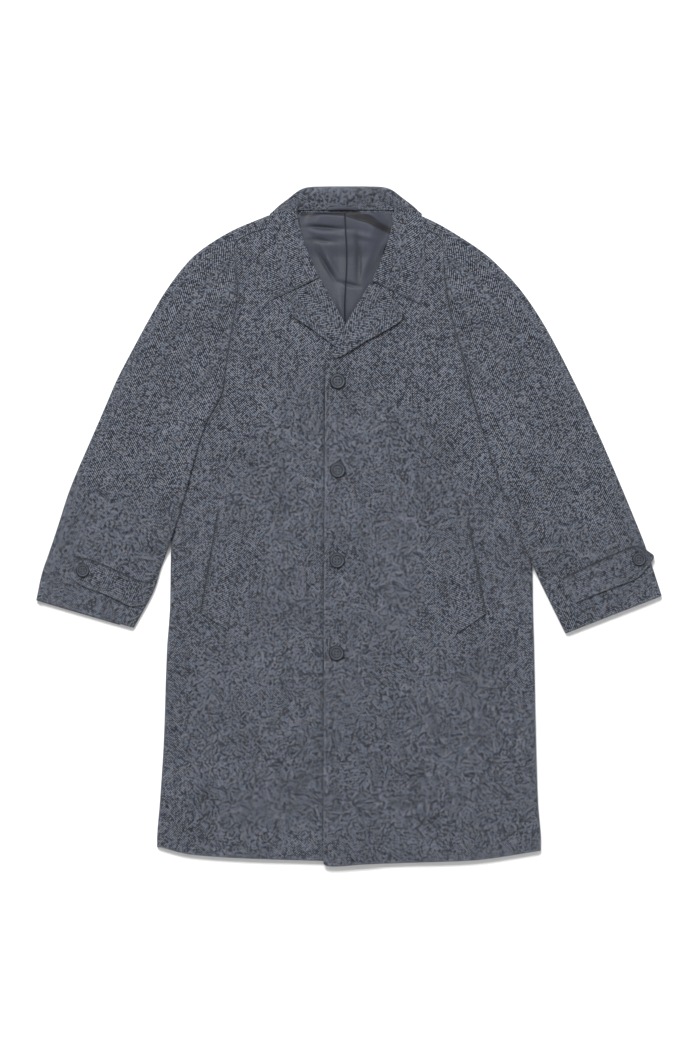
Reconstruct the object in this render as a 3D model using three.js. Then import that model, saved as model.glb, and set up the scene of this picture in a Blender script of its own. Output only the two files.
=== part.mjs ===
// Wool overcoat, single-breasted with notch lapels, lying flat on its back and seen from above.
// Millimetres, +Z up, +Y towards the collar. Plan tables are measured from the middle of the back
// and up from the lowest point of the hem; the group is moved at the end so that the part's origin
// is at the middle of its footprint.
import * as THREE from 'three';

// Driving sizes
const CLOTH = 2.6;          // wool melton with its fusing
const LINING = 1.2;
const SEAM = 0.3;           // gap between pieces that are sewn or lie on each other
const HOLLOW_TOP = 8.6;     // underside of the front layer above the surface
const FOLD_WIDTH = 8;       // how far a soft side fold rounds inwards
const LAPEL_LOFT = 2.6;     // how far the roll line stands up off the front
const FRONT_BUTTON = 25;
const CUFF_BUTTON = 22;
const WELT_THICK = 3.2;
const TAB_THICK = 3.0;
const LIE = 0.4;            // extra gap under a layer that only lies on another
const STRIP_LIE = 0.6;      // the same under welts and tabs
const LAPEL_LIE = 0.9;      // the same where the left front crosses the end of the right lapel
const HALF_WALL = CLOTH / 2;
const LAYER = CLOTH + SEAM;
const FLOOR_MID = HALF_WALL;
const FOLD_MID = (HOLLOW_TOP + CLOTH) / 2;
const RIGHT = -1;           // the wearer's right lies at -X
const LEFT = 1;

// Sleeve stations from the neck to the cuff, as distances outwards from the middle of the back:
// the outer fold, the inner edge of the top layer (shoulder seam, armhole seam, then inner fold),
// how far the back half comes round onto the front side at most, and how far the cloth has turned
// over at the inner edge: 0 is flat in the seam and 180 a full fold.
const SLEEVES = {
  [RIGHT]: [
    { outX: 115, outY: 1045, inX: 104, inY: 1030, wrap: 30, turn: 0 },
    { outX: 135, outY: 1038, inX: 125, inY: 1022, wrap: 30, turn: 0 },
    { outX: 189, outY: 1015, inX: 179, inY: 998, wrap: 30, turn: 0 },
    { outX: 238, outY: 984, inX: 181, inY: 955, wrap: 17, turn: 0 },
    { outX: 267, outY: 955, inX: 178, inY: 923, wrap: 14, turn: 0 },
    { outX: 296, outY: 915, inX: 182, inY: 885, wrap: 12, turn: 0 },
    { outX: 320, outY: 874, inX: 189, inY: 849, wrap: 11, turn: 0 },
    { outX: 346, outY: 826, inX: 196, inY: 803, wrap: 10, turn: 0 },
    { outX: 370, outY: 780, inX: 203, inY: 755, wrap: 10, turn: 30 },
    { outX: 387, outY: 741, inX: 226, inY: 711, wrap: 10, turn: 90 },
    { outX: 402, outY: 706, inX: 238, inY: 680, wrap: 10, turn: 180 },
    { outX: 413, outY: 681, inX: 245, inY: 654, wrap: 10, turn: 180 },
    { outX: 445, outY: 606, inX: 267, inY: 574, wrap: 10, turn: 180 },
    { outX: 466, outY: 542, inX: 287, inY: 512, wrap: 10, turn: 180 },
    { outX: 478, outY: 506, inX: 300, inY: 478, wrap: 10, turn: 180 },
    { outX: 491, outY: 468, inX: 313, inY: 438, wrap: 10, turn: 180 },
    { outX: 500, outY: 426, inX: 344, inY: 381, wrap: 10, turn: 180 },
  ],
  [LEFT]: [
    { outX: 103, outY: 1044, inX: 94, inY: 1030, wrap: 30, turn: 0 },
    { outX: 124, outY: 1036, inX: 114, inY: 1020, wrap: 30, turn: 0 },
    { outX: 157, outY: 1019, inX: 147, inY: 1002, wrap: 30, turn: 0 },
    { outX: 211, outY: 984, inX: 152, inY: 957, wrap: 17, turn: 0 },
    { outX: 245, outY: 954, inX: 156, inY: 922, wrap: 14, turn: 0 },
    { outX: 277, outY: 918, inX: 164, inY: 878, wrap: 12, turn: 0 },
    { outX: 307, outY: 874, inX: 176, inY: 836, wrap: 11, turn: 0 },
    { outX: 334, outY: 826, inX: 187, inY: 794, wrap: 10, turn: 0 },
    { outX: 357, outY: 781, inX: 198, inY: 745, wrap: 10, turn: 30 },
    { outX: 378, outY: 738, inX: 213, inY: 698, wrap: 10, turn: 90 },
    { outX: 391, outY: 708, inX: 222, inY: 673, wrap: 10, turn: 180 },
    { outX: 403, outY: 682, inX: 228, inY: 646, wrap: 10, turn: 180 },
    { outX: 434, outY: 610, inX: 254, inY: 576, wrap: 10, turn: 180 },
    { outX: 460, outY: 547, inX: 278, inY: 515, wrap: 10, turn: 180 },
    { outX: 473, outY: 514, inX: 293, inY: 481, wrap: 10, turn: 180 },
    { outX: 486, outY: 476, inX: 311, inY: 443, wrap: 10, turn: 180 },
    { outX: 500, outY: 432, inX: 346, inY: 372, wrap: 10, turn: 180 },
  ],
};
const SEAM_END = 9;         // row of the table where the armhole seam goes under the inner fold
const UNDERARM = 10;        // row of the table level with the underarm point

// Side fold of the body below the underarm, as half widths at heights above the hem
const BODY_SIDES = [
  { y: 0, right: 307, left: 307 },
  { y: 35, right: 307, left: 307 },
  { y: 106, right: 302, left: 302 },
  { y: 202, right: 296, left: 299 },
  { y: 346, right: 291, left: 296 },
  { y: 418, right: 286, left: 294 },
  { y: 490, right: 285, left: 293 },
  { y: 545, right: 283, left: 289 },
  { y: 618, right: 278, left: 280 },
  { y: 686, right: 270, left: 268 },
];
const UNDERARM_POINT = { [RIGHT]: { x: 270, y: 686 }, [LEFT]: { x: 268, y: 683 } };
const RAGLAN_NECK = { x: 62, y: 1043 };

// Lower ends of the panels, across from the wearer's right to the left
const HEMS = {
  back: [{ x: -303, y: 30 }, { x: -200, y: 14 }, { x: 0, y: 9 }, { x: 200, y: 12 }, { x: 303, y: 28 }],
  frontRight: [{ x: -306, y: 32 }, { x: -253, y: 19 }, { x: -171, y: 13 }, { x: -45, y: 9 }, { x: 12, y: 8 }],
  frontLeft: [{ x: -41, y: 0 }, { x: 20, y: 3 }, { x: 100, y: 6 }, { x: 189, y: 9 }, { x: 307, y: 25 }],
};

// Inner edge of each front going down: neck seam, roll line, then front edge
const NECK_EDGE = {
  [RIGHT]: [
    { y: 1030, x: -100 }, { y: 1010, x: -93 }, { y: 978, x: -77 }, { y: 941, x: -49 },
    { y: 866, x: -5 }, { y: 826, x: 12 }, { y: 790, x: 12 }, { y: 0, x: 12 },
  ],
  [LEFT]: [
    { y: 1030, x: 90 }, { y: 1008, x: 84 }, { y: 976, x: 67 }, { y: 931, x: 35 },
    { y: 866, x: -5 }, { y: 797, x: -37 }, { y: 746, x: -38 }, { y: 0, x: -41 },
  ],
};

// Lapel stations from the gorge down: point on the roll line and point on the outer edge
const LAPELS = {
  [RIGHT]: [
    { rollX: -46, rollY: 940, edgeX: -97, edgeY: 893, loft: 1 },
    { rollX: -35, rollY: 921, edgeX: -88, edgeY: 878, loft: 1 },
    { rollX: -20, rollY: 893, edgeX: -62, edgeY: 860, loft: 0.8 },
    { rollX: -7, rollY: 869, edgeX: -38, edgeY: 842, loft: 0.25 },
    { rollX: 3, rollY: 847, edgeX: -19, edgeY: 828, loft: 0.1 },
    { rollX: 9, rollY: 831, edgeX: -4, edgeY: 817, loft: 0.1 },
  ],
  [LEFT]: [
    { rollX: 32, rollY: 930, edgeX: 84, edgeY: 888, loft: 1 },
    { rollX: 24, rollY: 916, edgeX: 83, edgeY: 872, loft: 1 },
    { rollX: 10, rollY: 893, edgeX: 57, edgeY: 855, loft: 1 },
    { rollX: -6, rollY: 864, edgeX: 26, edgeY: 838, loft: 1 },
    { rollX: -20, rollY: 834, edgeX: -3, edgeY: 820, loft: 0.6 },
    { rollX: -28, rollY: 817, edgeX: -20, edgeY: 811, loft: 0.1 },
  ],
};
const NOTCH_ALONG = 0.46;   // the notch's place along the lapel's upper edge
const NOTCH_RISE = 8.5;     // how far the gorge lies above the straight line to the point

// Half of the collar from the gorge to the middle of the back, as distances from its own middle:
// roll line, outline fold (or a point on the way where the leaf lies flat), and leaf edge
const COLLAR_MIDDLE = -5;
const LEAF = [
  { rollX: 41, rollY: 941, foldX: 90, foldY: 917, edgeX: 120, edgeY: 904, folded: 0, curl: 180, out: 130 },
  { rollX: 57, rollY: 974, foldX: 97, foldY: 951, edgeX: 124, edgeY: 935, folded: 0, curl: 180, out: 130 },
  { rollX: 66, rollY: 998, foldX: 101, foldY: 980, edgeX: 126, edgeY: 967, folded: 0, curl: 180, out: 130 },
  { rollX: 73, rollY: 1022, foldX: 104, foldY: 1010, edgeX: 126, edgeY: 1001, folded: 0, curl: 180, out: 130 },
  { rollX: 76, rollY: 1041, foldX: 108, foldY: 1036, edgeX: 126, edgeY: 1033, folded: 0, curl: 180, out: 130 },
  { rollX: 77, rollY: 1046, foldX: 112, foldY: 1043, edgeX: 126, edgeY: 1042, folded: 0, curl: 170, out: 130 },
  { rollX: 77, rollY: 1049, foldX: 124, foldY: 1047, edgeX: 119, edgeY: 1040, folded: 0.5, curl: 150, out: 130 },
  { rollX: 77, rollY: 1052, foldX: 118, foldY: 1051.5, edgeX: 113.5, edgeY: 1045, folded: 1, curl: 135, out: 130 },
  { rollX: 77, rollY: 1056, foldX: 108, foldY: 1057, edgeX: 98, edgeY: 1022, folded: 1, curl: 120, out: 128 },
  { rollX: 76, rollY: 1063, foldX: 90, foldY: 1069, edgeX: 84, edgeY: 1012, folded: 1, curl: 80, out: 122 },
  { rollX: 70, rollY: 1070, foldX: 74, foldY: 1081, edgeX: 66, edgeY: 1006, folded: 1, curl: 40, out: 110 },
  { rollX: 57, rollY: 1075, foldX: 58, foldY: 1086, edgeX: 52, edgeY: 1002, folded: 1, curl: 10, out: 95 },
  { rollX: 30, rollY: 1076, foldX: 30, foldY: 1087, edgeX: 28, edgeY: 999, folded: 1, curl: 10, out: 90 },
];
// Collar stand: neck seam and top edge, with the heights of their middle lines
const STAND = [
  { neckX: 70, neckY: 980, neckZ: 9.9, topX: 65.5, topY: 982, topZ: 9.9 },
  { neckX: 79, neckY: 998, neckZ: 9.9, topX: 72, topY: 1000, topZ: 9.9 },
  { neckX: 86, neckY: 1012, neckZ: 9.9, topX: 78, topY: 1018, topZ: 9.9 },
  { neckX: 92.5, neckY: 1030, neckZ: 9.4, topX: 82, topY: 1037, topZ: 9.8 },
  { neckX: 92, neckY: 1040, neckZ: 7.4, topX: 83, topY: 1049, topZ: 8.4 },
  { neckX: 84, neckY: 1047, neckZ: 5.2, topX: 77, topY: 1059, topZ: 7.2 },
  { neckX: 64, neckY: 1049, neckZ: 4.3, topX: 62, topY: 1070, topZ: 6.4 },
  { neckX: 30, neckY: 1049, neckZ: 4.3, topX: 30, topY: 1078, topZ: 6.4 },
];
const LEAF_UNDER_EDGE = 998;   // how far down the leaf reaches underneath the back
const LEAF_HALF = 125;         // half width of the leaf underneath
const LEAF_END_RISE = 42;      // how much higher its lower edge lies at its ends

// Soft folds pressed into the front layer: middle, direction, half length, half width and rise
const SOFT_FOLDS = [
  { x: -232, y: 640, angle: 62, length: 150, width: 26, rise: 1.5 },
  { x: 222, y: 600, angle: 118, length: 150, width: 28, rise: 1.4 },
  { x: -120, y: 300, angle: 88, length: 230, width: 46, rise: 1.0 },
  { x: 150, y: 250, angle: 94, length: 240, width: 52, rise: 1.1 },
  { x: 96, y: 660, angle: 74, length: 120, width: 34, rise: 0.9 },
  { x: -100, y: 690, angle: 105, length: 110, width: 32, rise: 0.8 },
  { x: -360, y: 640, angle: 65, length: 140, width: 24, rise: 1.6 },
  { x: 372, y: 600, angle: 114, length: 150, width: 26, rise: 1.5 },
];
// Half width of the lining that shows, with what reaches under the fronts
const LINING_SIDES = [
  { y: 836, half: 30 }, { y: 866, half: 30 }, { y: 900, half: 46 }, { y: 941, half: 58 },
  { y: 980, half: 60 }, { y: 1008, half: 72 }, { y: 1026, half: 78 }, { y: 1045, half: 70 },
];
// Folds of the lining in the neck opening
const LINING_FOLDS = [
  { x: -45, y: 1030, angle: 4, length: 44, width: 9, rise: 5.2 },
  { x: 18, y: 1022, angle: 165, length: 44, width: 10, rise: 4.4 },
  { x: -40, y: 1004, angle: 8, length: 30, width: 8, rise: 3.0 },
  { x: 6, y: 975, angle: 88, length: 46, width: 10, rise: 2.4 },
  { x: -34, y: 960, angle: 125, length: 30, width: 9, rise: 1.8 },
  { x: 36, y: 985, angle: 60, length: 30, width: 9, rise: 2.2 },
];

// Welts and cuff tabs as corners: the first two along the upper end, the last two along the lower end
const WELTS = {
  [RIGHT]: { outer: [-210, 570], inner: [-166, 557], lowOuter: [-238, 406], lowInner: [-194, 378] },
  [LEFT]: { outer: [191, 558], inner: [141, 545], lowOuter: [220, 404], lowInner: [170, 371] },
};
const TABS = {
  [RIGHT]: { top: [[-438, 487], [-420, 493], [-369, 473], [-334, 457], [-316, 455]],
    bottom: [[-442, 459], [-423, 447], [-386, 433], [-350, 416], [-326, 418]] },
  [LEFT]: { top: [[338, 460], [395, 487], [452, 511], [472, 507], [485, 499]],
    bottom: [[362, 421], [410, 441], [457, 459], [474, 475], [485, 488]] },
};
const FRONT_BUTTONS = [[-18, 775], [-18, 633], [-19, 489], [-20, 341]];
const CUFF_BUTTONS = { [RIGHT]: [-425, 473], [LEFT]: [463, 491] };

// Colours
const WOOL = new THREE.MeshStandardMaterial({ color: 0x575b65, roughness: 0.95, metalness: 0 });
const LINING_CLOTH = new THREE.MeshStandardMaterial({ color: 0x545863, roughness: 0.55, metalness: 0 });
const HORN = new THREE.MeshStandardMaterial({ color: 0x2f353f, roughness: 0.45, metalness: 0 });

// Small helpers
const rad = (deg) => deg * Math.PI / 180;
const mix = (a, b, t) => a + (b - a) * t;
const clamp = (v, lo = 0, hi = 1) => Math.min(hi, Math.max(lo, v));
const smooth = (t) => clamp(t) ** 2 * (3 - 2 * clamp(t));

// Smooth curve through table rows: value of `key` at a fractional row number
function along(rows, key, t) {
  const i = Math.min(Math.floor(t), rows.length - 2);
  const f = t - i;
  const at = (k) => rows[clamp(k, 0, rows.length - 1)][key];
  const [a, b, c, d] = [at(i - 1), at(i), at(i + 1), at(i + 2)];
  const slopeB = i === 0 ? c - b : (c - a) / 2;
  const slopeC = i === rows.length - 2 ? c - b : (d - b) / 2;
  const f2 = f * f;
  const f3 = f2 * f;
  return b * (2 * f3 - 3 * f2 + 1) + slopeB * (f3 - 2 * f2 + f) + c * (3 * f2 - 2 * f3) + slopeC * (f3 - f2);
}

// Straight lookup of a column at a fractional row number
function between(rows, key, t) {
  const i = Math.min(Math.floor(t), rows.length - 2);
  return mix(rows[i][key], rows[i + 1][key], t - i);
}

// Straight lookup of a column against another column that rises or falls steadily
function lookup(rows, fromKey, toKey, value) {
  const rising = rows[rows.length - 1][fromKey] > rows[0][fromKey];
  const short = (row) => (rising ? row[fromKey] < value : row[fromKey] > value);
  let i = 0;
  while (i < rows.length - 2 && short(rows[i + 1])) i += 1;
  const f = clamp((value - rows[i][fromKey]) / (rows[i + 1][fromKey] - rows[i][fromKey]));
  return mix(rows[i][toKey], rows[i + 1][toKey], f);
}

// Sum of soft ridges at a place
function ridges(folds, x, y) {
  let rise = 0;
  for (const fold of folds) {
    const [c, s] = [Math.cos(rad(fold.angle)), Math.sin(rad(fold.angle))];
    const lengthwise = ((x - fold.x) * c + (y - fold.y) * s) / fold.length;
    const across = ((y - fold.y) * c - (x - fold.x) * s) / fold.width;
    rise += fold.rise * Math.exp(-lengthwise * lengthwise - across * across);
  }
  return rise;
}

const LIFT_LEAD = 26;       // the cloth starts to rise this far before the leaf's lower edge
const LIFT_WIDTH = 24;      // and has risen onto it over this width
const LIFT_END = 21;        // it comes down again this far past the leaf's ends

// How far the back and the shoulders are lifted by the collar leaf that lies under them
function leafLift(x, y) {
  const side = Math.abs(x - COLLAR_MIDDLE);
  const edge = LEAF_UNDER_EDGE + LEAF_END_RISE * (side / LEAF_HALF) ** 4;
  return LAYER * smooth((y - edge + LIFT_LEAD) / LIFT_WIDTH) * smooth((LEAF_HALF + LIFT_END - side) / 20);
}

// Middle of the front layer above the surface
const frontMid = (x, y) => HOLLOW_TOP + HALF_WALL + ridges(SOFT_FOLDS, x, y);

const LAPEL_FOOT = 780;     // above this height the left front also covers the end of the right lapel
const FOOT_RISE = 24;
const OVERLAP_END = 50;     // the left front comes down to its own level this far past the right edge
const OVERLAP_SLOPE = 38;

// The left front lies on the right front and on the end of the right lapel
function overlapLift(x, y) {
  const edge = lookup(NECK_EDGE[RIGHT], 'y', 'x', y);
  const overLapel = smooth((y - LAPEL_FOOT) / FOOT_RISE);
  return (LAYER + overLapel * (LAYER + LAPEL_LIE)) * smooth((edge + OVERLAP_END - x) / OVERLAP_SLOPE);
}
const frontLift = { [RIGHT]: () => 0, [LEFT]: overlapLift };
const panelMid = (hand, x, y) => frontMid(x, y) + frontLift[hand](x, y);

// A wall from two grids of points, closed along its border, with its faces turned outwards
function wallMesh(name, over, under, material) {
  const rows = over.length;
  const cols = over[0].length;
  const points = [...over.flat(), ...under.flat()];
  const top = (r, c) => r * cols + c;
  const low = (r, c) => rows * cols + r * cols + c;
  const faces = [];
  const quad = (a, b, c, d) => faces.push([a, b, c], [a, c, d]);
  for (let r = 0; r < rows - 1; r += 1) {
    for (let c = 0; c < cols - 1; c += 1) {
      quad(top(r, c), top(r, c + 1), top(r + 1, c + 1), top(r + 1, c));
      quad(low(r, c), low(r + 1, c), low(r + 1, c + 1), low(r, c + 1));
    }
    quad(top(r, 0), top(r + 1, 0), low(r + 1, 0), low(r, 0));
    quad(top(r, cols - 1), low(r, cols - 1), low(r + 1, cols - 1), top(r + 1, cols - 1));
  }
  for (let c = 0; c < cols - 1; c += 1) {
    quad(top(0, c), low(0, c), low(0, c + 1), top(0, c + 1));
    quad(top(rows - 1, c), top(rows - 1, c + 1), low(rows - 1, c + 1), low(rows - 1, c));
  }
  let volume = 0;
  for (const [a, b, c] of faces) {
    const [p, q, s] = [points[a], points[b], points[c]];
    volume += p[0] * (q[1] * s[2] - q[2] * s[1]) - p[1] * (q[0] * s[2] - q[2] * s[0])
      + p[2] * (q[0] * s[1] - q[1] * s[0]);
  }
  const turned = volume > 0 ? faces : faces.map(([a, b, c]) => [a, c, b]);
  const geometry = new THREE.BufferGeometry();
  geometry.setAttribute('position', new THREE.Float32BufferAttribute(points.flat(), 3));
  geometry.setIndex(turned.flat());
  geometry.computeVertexNormals();
  const mesh = new THREE.Mesh(geometry, material);
  mesh.name = name;
  return mesh;
}

// Points at given distances along a path of [across, height] points
function resample(path, stops) {
  const reach = [0];
  for (let i = 1; i < path.length; i += 1) {
    reach.push(reach[i - 1] + Math.hypot(path[i][0] - path[i - 1][0], path[i][1] - path[i - 1][1]));
  }
  const total = reach[reach.length - 1];
  return stops.map((stop) => {
    const want = clamp(stop, 0, total);
    let i = 0;
    while (i < path.length - 2 && reach[i + 1] < want) i += 1;
    const f = clamp((want - reach[i]) / Math.max(reach[i + 1] - reach[i], 1e-9));
    return [mix(path[i][0], path[i + 1][0], f), mix(path[i][1], path[i + 1][1], f)];
  });
}

function pathLength(path) {
  let total = 0;
  for (let i = 1; i < path.length; i += 1) {
    total += Math.hypot(path[i][0] - path[i - 1][0], path[i][1] - path[i - 1][1]);
  }
  return total;
}

// Both faces of a wall in a section: the middle path moved half the thickness to each side
function thickenPath(mid, thick, ends = {}) {
  const last = mid.length - 1;
  const sides = mid.map((point, i) => {
    const before = mid[Math.max(i - 1, 0)];
    const after = mid[Math.min(i + 1, last)];
    let tangent = [after[0] - before[0], after[1] - before[1]];
    if (i === 0 && ends.first) tangent = ends.first;
    if (i === last && ends.last) tangent = ends.last;
    const size = Math.hypot(...tangent);
    const normal = [-tangent[1] / size, tangent[0] / size];
    return normal.map((n) => n * thick / 2);
  });
  return [1, -1].map((way) => mid.map((p, i) => [p[0] + way * sides[i][0], p[1] + way * sides[i][1]]));
}

// Both faces of a wall from a grid of middle points in space
function thickenGrid(grid, thick) {
  const rows = grid.length;
  const cols = grid[0].length;
  const shift = grid.map((row, r) => row.map((p, c) => {
    const [a, b] = [row[Math.max(c - 1, 0)], row[Math.min(c + 1, cols - 1)]];
    const [d, e] = [grid[Math.max(r - 1, 0)][c], grid[Math.min(r + 1, rows - 1)][c]];
    const u = new THREE.Vector3(b[0] - a[0], b[1] - a[1], b[2] - a[2]);
    const v = new THREE.Vector3(e[0] - d[0], e[1] - d[1], e[2] - d[2]);
    return u.cross(v).normalize().multiplyScalar(thick / 2).toArray();
  }));
  const add = (p, d, way) => p.map((v, k) => v + way * d[k]);
  const moved = (way) => grid.map((row, r) => row.map((p, c) => add(p, shift[r][c], way)));
  return [moved(1), moved(-1)];
}

const spread = (from, to, count) => Array.from({ length: count + 1 }, (unused, i) => mix(from, to, i / count));

// Sleeves

const EXTRA_STATIONS = [9.12, 10.2, 10.5, 12.5, 13.5];   // where the inner fold changes fast
const TOP_SEAM_START = 2.2;   // the front half of the sleeve starts just past the shoulder's end
const SIDE_SEARCH = 90;       // the body's side fold lies at most this far past the inner edge
const SEARCH_STEPS = 40;

function stationsFrom(first, last) {
  const stations = [...spread(first, last, last - first), ...EXTRA_STATIONS];
  return stations.sort((a, b) => a - b);
}

function sleeveStation(hand, t) {
  const rows = SLEEVES[hand];
  const [outX, outY] = [along(rows, 'outX', t), along(rows, 'outY', t)];
  const [inX, inY] = [along(rows, 'inX', t), along(rows, 'inY', t)];
  const width = Math.hypot(inX - outX, inY - outY);
  const way = [(inX - outX) / width, (inY - outY) / width];
  const place = (s) => [hand * (outX + way[0] * s), outY + way[1] * s];
  const wrap = Math.min(along(rows, 'wrap', t), width - 2 * SEAM);
  return { hand, t, outX, outY, inX, inY, width, way, place, wrap, turn: between(rows, 'turn', t) };
}

function bodySide(hand, y) {
  return lookup(BODY_SIDES, 'y', hand === RIGHT ? 'right' : 'left', y);
}

// How far along a station's line the body's side fold is
function sideAlong(station) {
  let [near, far] = [0, station.width + SIDE_SEARCH];
  const beyond = (s) => {
    const [x, y] = station.place(s);
    return Math.abs(x) > bodySide(station.hand, y);
  };
  for (let i = 0; i < SEARCH_STEPS; i += 1) {
    const middle = (near + far) / 2;
    if (beyond(middle)) near = middle;
    else far = middle;
  }
  return near;
}

// How far along a station's line it meets the straight seam between two points
function seamAlong(station, from, to) {
  const seam = [to.x - from.x, to.y - from.y];
  const cross = station.way[0] * seam[1] - station.way[1] * seam[0];
  return ((from.x - station.outX) * seam[1] - (from.y - station.outY) * seam[0]) / cross;
}

// The raglan seam runs from the back neck to the underarm, underneath
const raglanAlong = (station) => seamAlong(station, RAGLAN_NECK, UNDERARM_POINT[station.hand]);

// The last stretch of the armhole seam runs to the underarm, under the inner fold
function armholeEndAlong(station) {
  const row = SLEEVES[station.hand][SEAM_END];
  return seamAlong(station, { x: row.inX, y: row.inY }, UNDERARM_POINT[station.hand]);
}

const SIDE_CLEAR = 16;      // the sleeve's underarm seam lies this far outside the body's side fold
const SIDE_CLEAR_ROWS = 0.6;   // and gets there over this share of a station below the underarm
const UNDER_TURN = 22;      // width turned under at the inner fold where the sleeve lies free

// Underarm seam of the sleeve below the armhole, along a station's line
function underarmAlong(station) {
  const free = station.width - UNDER_TURN;
  const clear = SIDE_CLEAR * smooth((station.t - UNDERARM) / SIDE_CLEAR_ROWS) + 2 * SEAM;
  return Math.min(free, sideAlong(station) - clear);
}

const DRAPE_LEAD = 12.5;    // a sheet starts to rise this far outside the body's side fold
const DRAPE_SLACK = 10;     // and this much further out where the underarm holds it
const DRAPE_WIDTH = 15;     // width over which it rises

// Height of a sheet draped over the body's side fold, q being the distance inwards from the fold
function drapedMid(q, x, y, flatness) {
  const over = frontMid(x, y) + LAYER + LIE;
  return mix(FLOOR_MID, over, smooth((q + DRAPE_LEAD + DRAPE_SLACK * flatness) / DRAPE_WIDTH));
}

const RISE_WIDTH = 60;      // width over which the sleeve rises to its inner fold
const RISE_CLEAR = { seam: 4, side: 14, fold: 6 };   // it has risen this far before each of them
const TURN_RADIUS = 3;      // where the cloth starts to turn over at the armhole seam
const FREE_FOLD = 8.2;      // height of the inner fold over the surface where nothing lies under it
const STACKED_FOLD = 4.4;   // and over the layer turned under it where it lies on the body

// Middle of the sleeve's top layer at its inner edge
function foldHeight(station) {
  const [x, y] = station.place(station.width);
  const quarter = frontMid(x, y) + TURN_RADIUS * (1 - Math.cos(rad(Math.min(station.turn, 90))));
  if (station.turn <= 90) return quarter;
  const below = drapedMid(station.width - sideAlong(station), x, y, 0);
  const free = FLOOR_MID + FREE_FOLD;
  const resting = mix(free, below + STACKED_FOLD, smooth((below - FLOOR_MID) / 6));
  return mix(quarter, Math.max(resting, free), smooth((station.turn - 90) / 90));
}

// Where the top layer has risen over what is turned under it
function riseEnd(station) {
  if (station.t <= SEAM_END) return station.width;
  const atSeam = station.t <= UNDERARM;
  const under = atSeam ? armholeEndAlong(station) - RISE_CLEAR.seam : sideAlong(station) - RISE_CLEAR.side;
  return Math.min(under, station.width - RISE_CLEAR.fold);
}

function sleeveTopMid(station, s) {
  const [x, y] = station.place(s);
  return mix(frontMid(x, y), foldHeight(station), smooth((s - riseEnd(station) + RISE_WIDTH) / RISE_WIDTH));
}

// Outer fold from the bottom layer round to the top layer
function outerFold(station) {
  const [x, y] = station.place(FOLD_WIDTH);
  const floor = FLOOR_MID + leafLift(x, y);
  const half = (sleeveTopMid(station, FOLD_WIDTH) - floor) / 2;
  const reach = FOLD_WIDTH - HALF_WALL;
  return spread(-90, 90, 8).map((a) => [
    FOLD_WIDTH - reach * Math.cos(rad(a)),
    floor + half + half * Math.sin(rad(a)),
  ]);
}

function backSleevePath(station) {
  const inner = (station.t <= UNDERARM ? raglanAlong(station) - SEAM : underarmAlong(station)) - SEAM;
  const bottom = spread(inner, FOLD_WIDTH + 1, 24).map((s) => {
    const [x, y] = station.place(s);
    return [s, FLOOR_MID + leafLift(x, y)];
  });
  const top = spread(FOLD_WIDTH + 0.5, station.wrap - SEAM / 2, 3).map((s) => [s, sleeveTopMid(station, s)]);
  return { bottom, fold: outerFold(station), top };
}

function sectionToSpace(station, section) {
  return section.map(([s, z]) => [...station.place(s), z]);
}

function backSleeve(hand) {
  const name = hand === RIGHT ? 'back_sleeve_right' : 'back_sleeve_left';
  const last = SLEEVES[hand].length - 1;
  const [over, under] = [[], []];
  for (const t of stationsFrom(0, last)) {
    const station = sleeveStation(hand, t);
    const { bottom, fold, top } = backSleevePath(station);
    const flat = pathLength(bottom);
    const path = [...bottom, ...fold, ...top];
    const total = pathLength(path);
    const turned = pathLength(fold);
    const stops = [...spread(0, flat, 5), ...spread(flat + 0.14 * turned, flat + turned, 6), total];
    const [a, b] = thickenPath(resample(path, stops), CLOTH, { first: [-1, 0], last: [1, 0] });
    over.push(sectionToSpace(station, a));
    under.push(sectionToSpace(station, b));
  }
  return wallMesh(name, over, under, WOOL);
}

const TOP_COLUMNS = 7;
const TIGHT_FOLD = 1.7;       // smallest radius of a fold at the middle of the cloth
const FOLD_REACH = 4.2;       // furthest that a fold rounds out
const BEND_WIDTH = 24;        // stretch before the seam that gets closer points
const TUCK_STOPS = [3, -1, -5, -9, -16];   // places over the body's side fold, measured inwards from it
const TUCK_STEP = 1.5;        // least distance between them

// Front half of a sleeve where the armhole seam holds it and the cloth starts to turn over
function turningPath(station) {
  const start = station.wrap + SEAM / 2;
  const turn = rad(station.turn);
  const centre = station.width - (TURN_RADIUS + HALF_WALL) * Math.sin(turn);
  const bend = Math.min(BEND_WIDTH, (centre - start) / 2);
  const onTop = (s) => [s, sleeveTopMid(station, s)];
  const top = spread(start, centre - bend, TOP_COLUMNS).map(onTop);
  if (turn === 0) return [...top, ...spread(centre - bend, centre, 9).slice(1).map(onTop)];
  const topZ = foldHeight(station);
  const slope = spread(centre - bend, centre, 5).slice(1).map(onTop);
  const arc = spread(0, turn, 5).slice(1).map((a) => [
    centre + TURN_RADIUS * Math.sin(a),
    topZ - TURN_RADIUS * (1 - Math.cos(a)),
  ]);
  const near = [...slope, ...arc];
  return [...top, ...resample(near, spread(0, pathLength(near), 8))];
}

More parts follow.
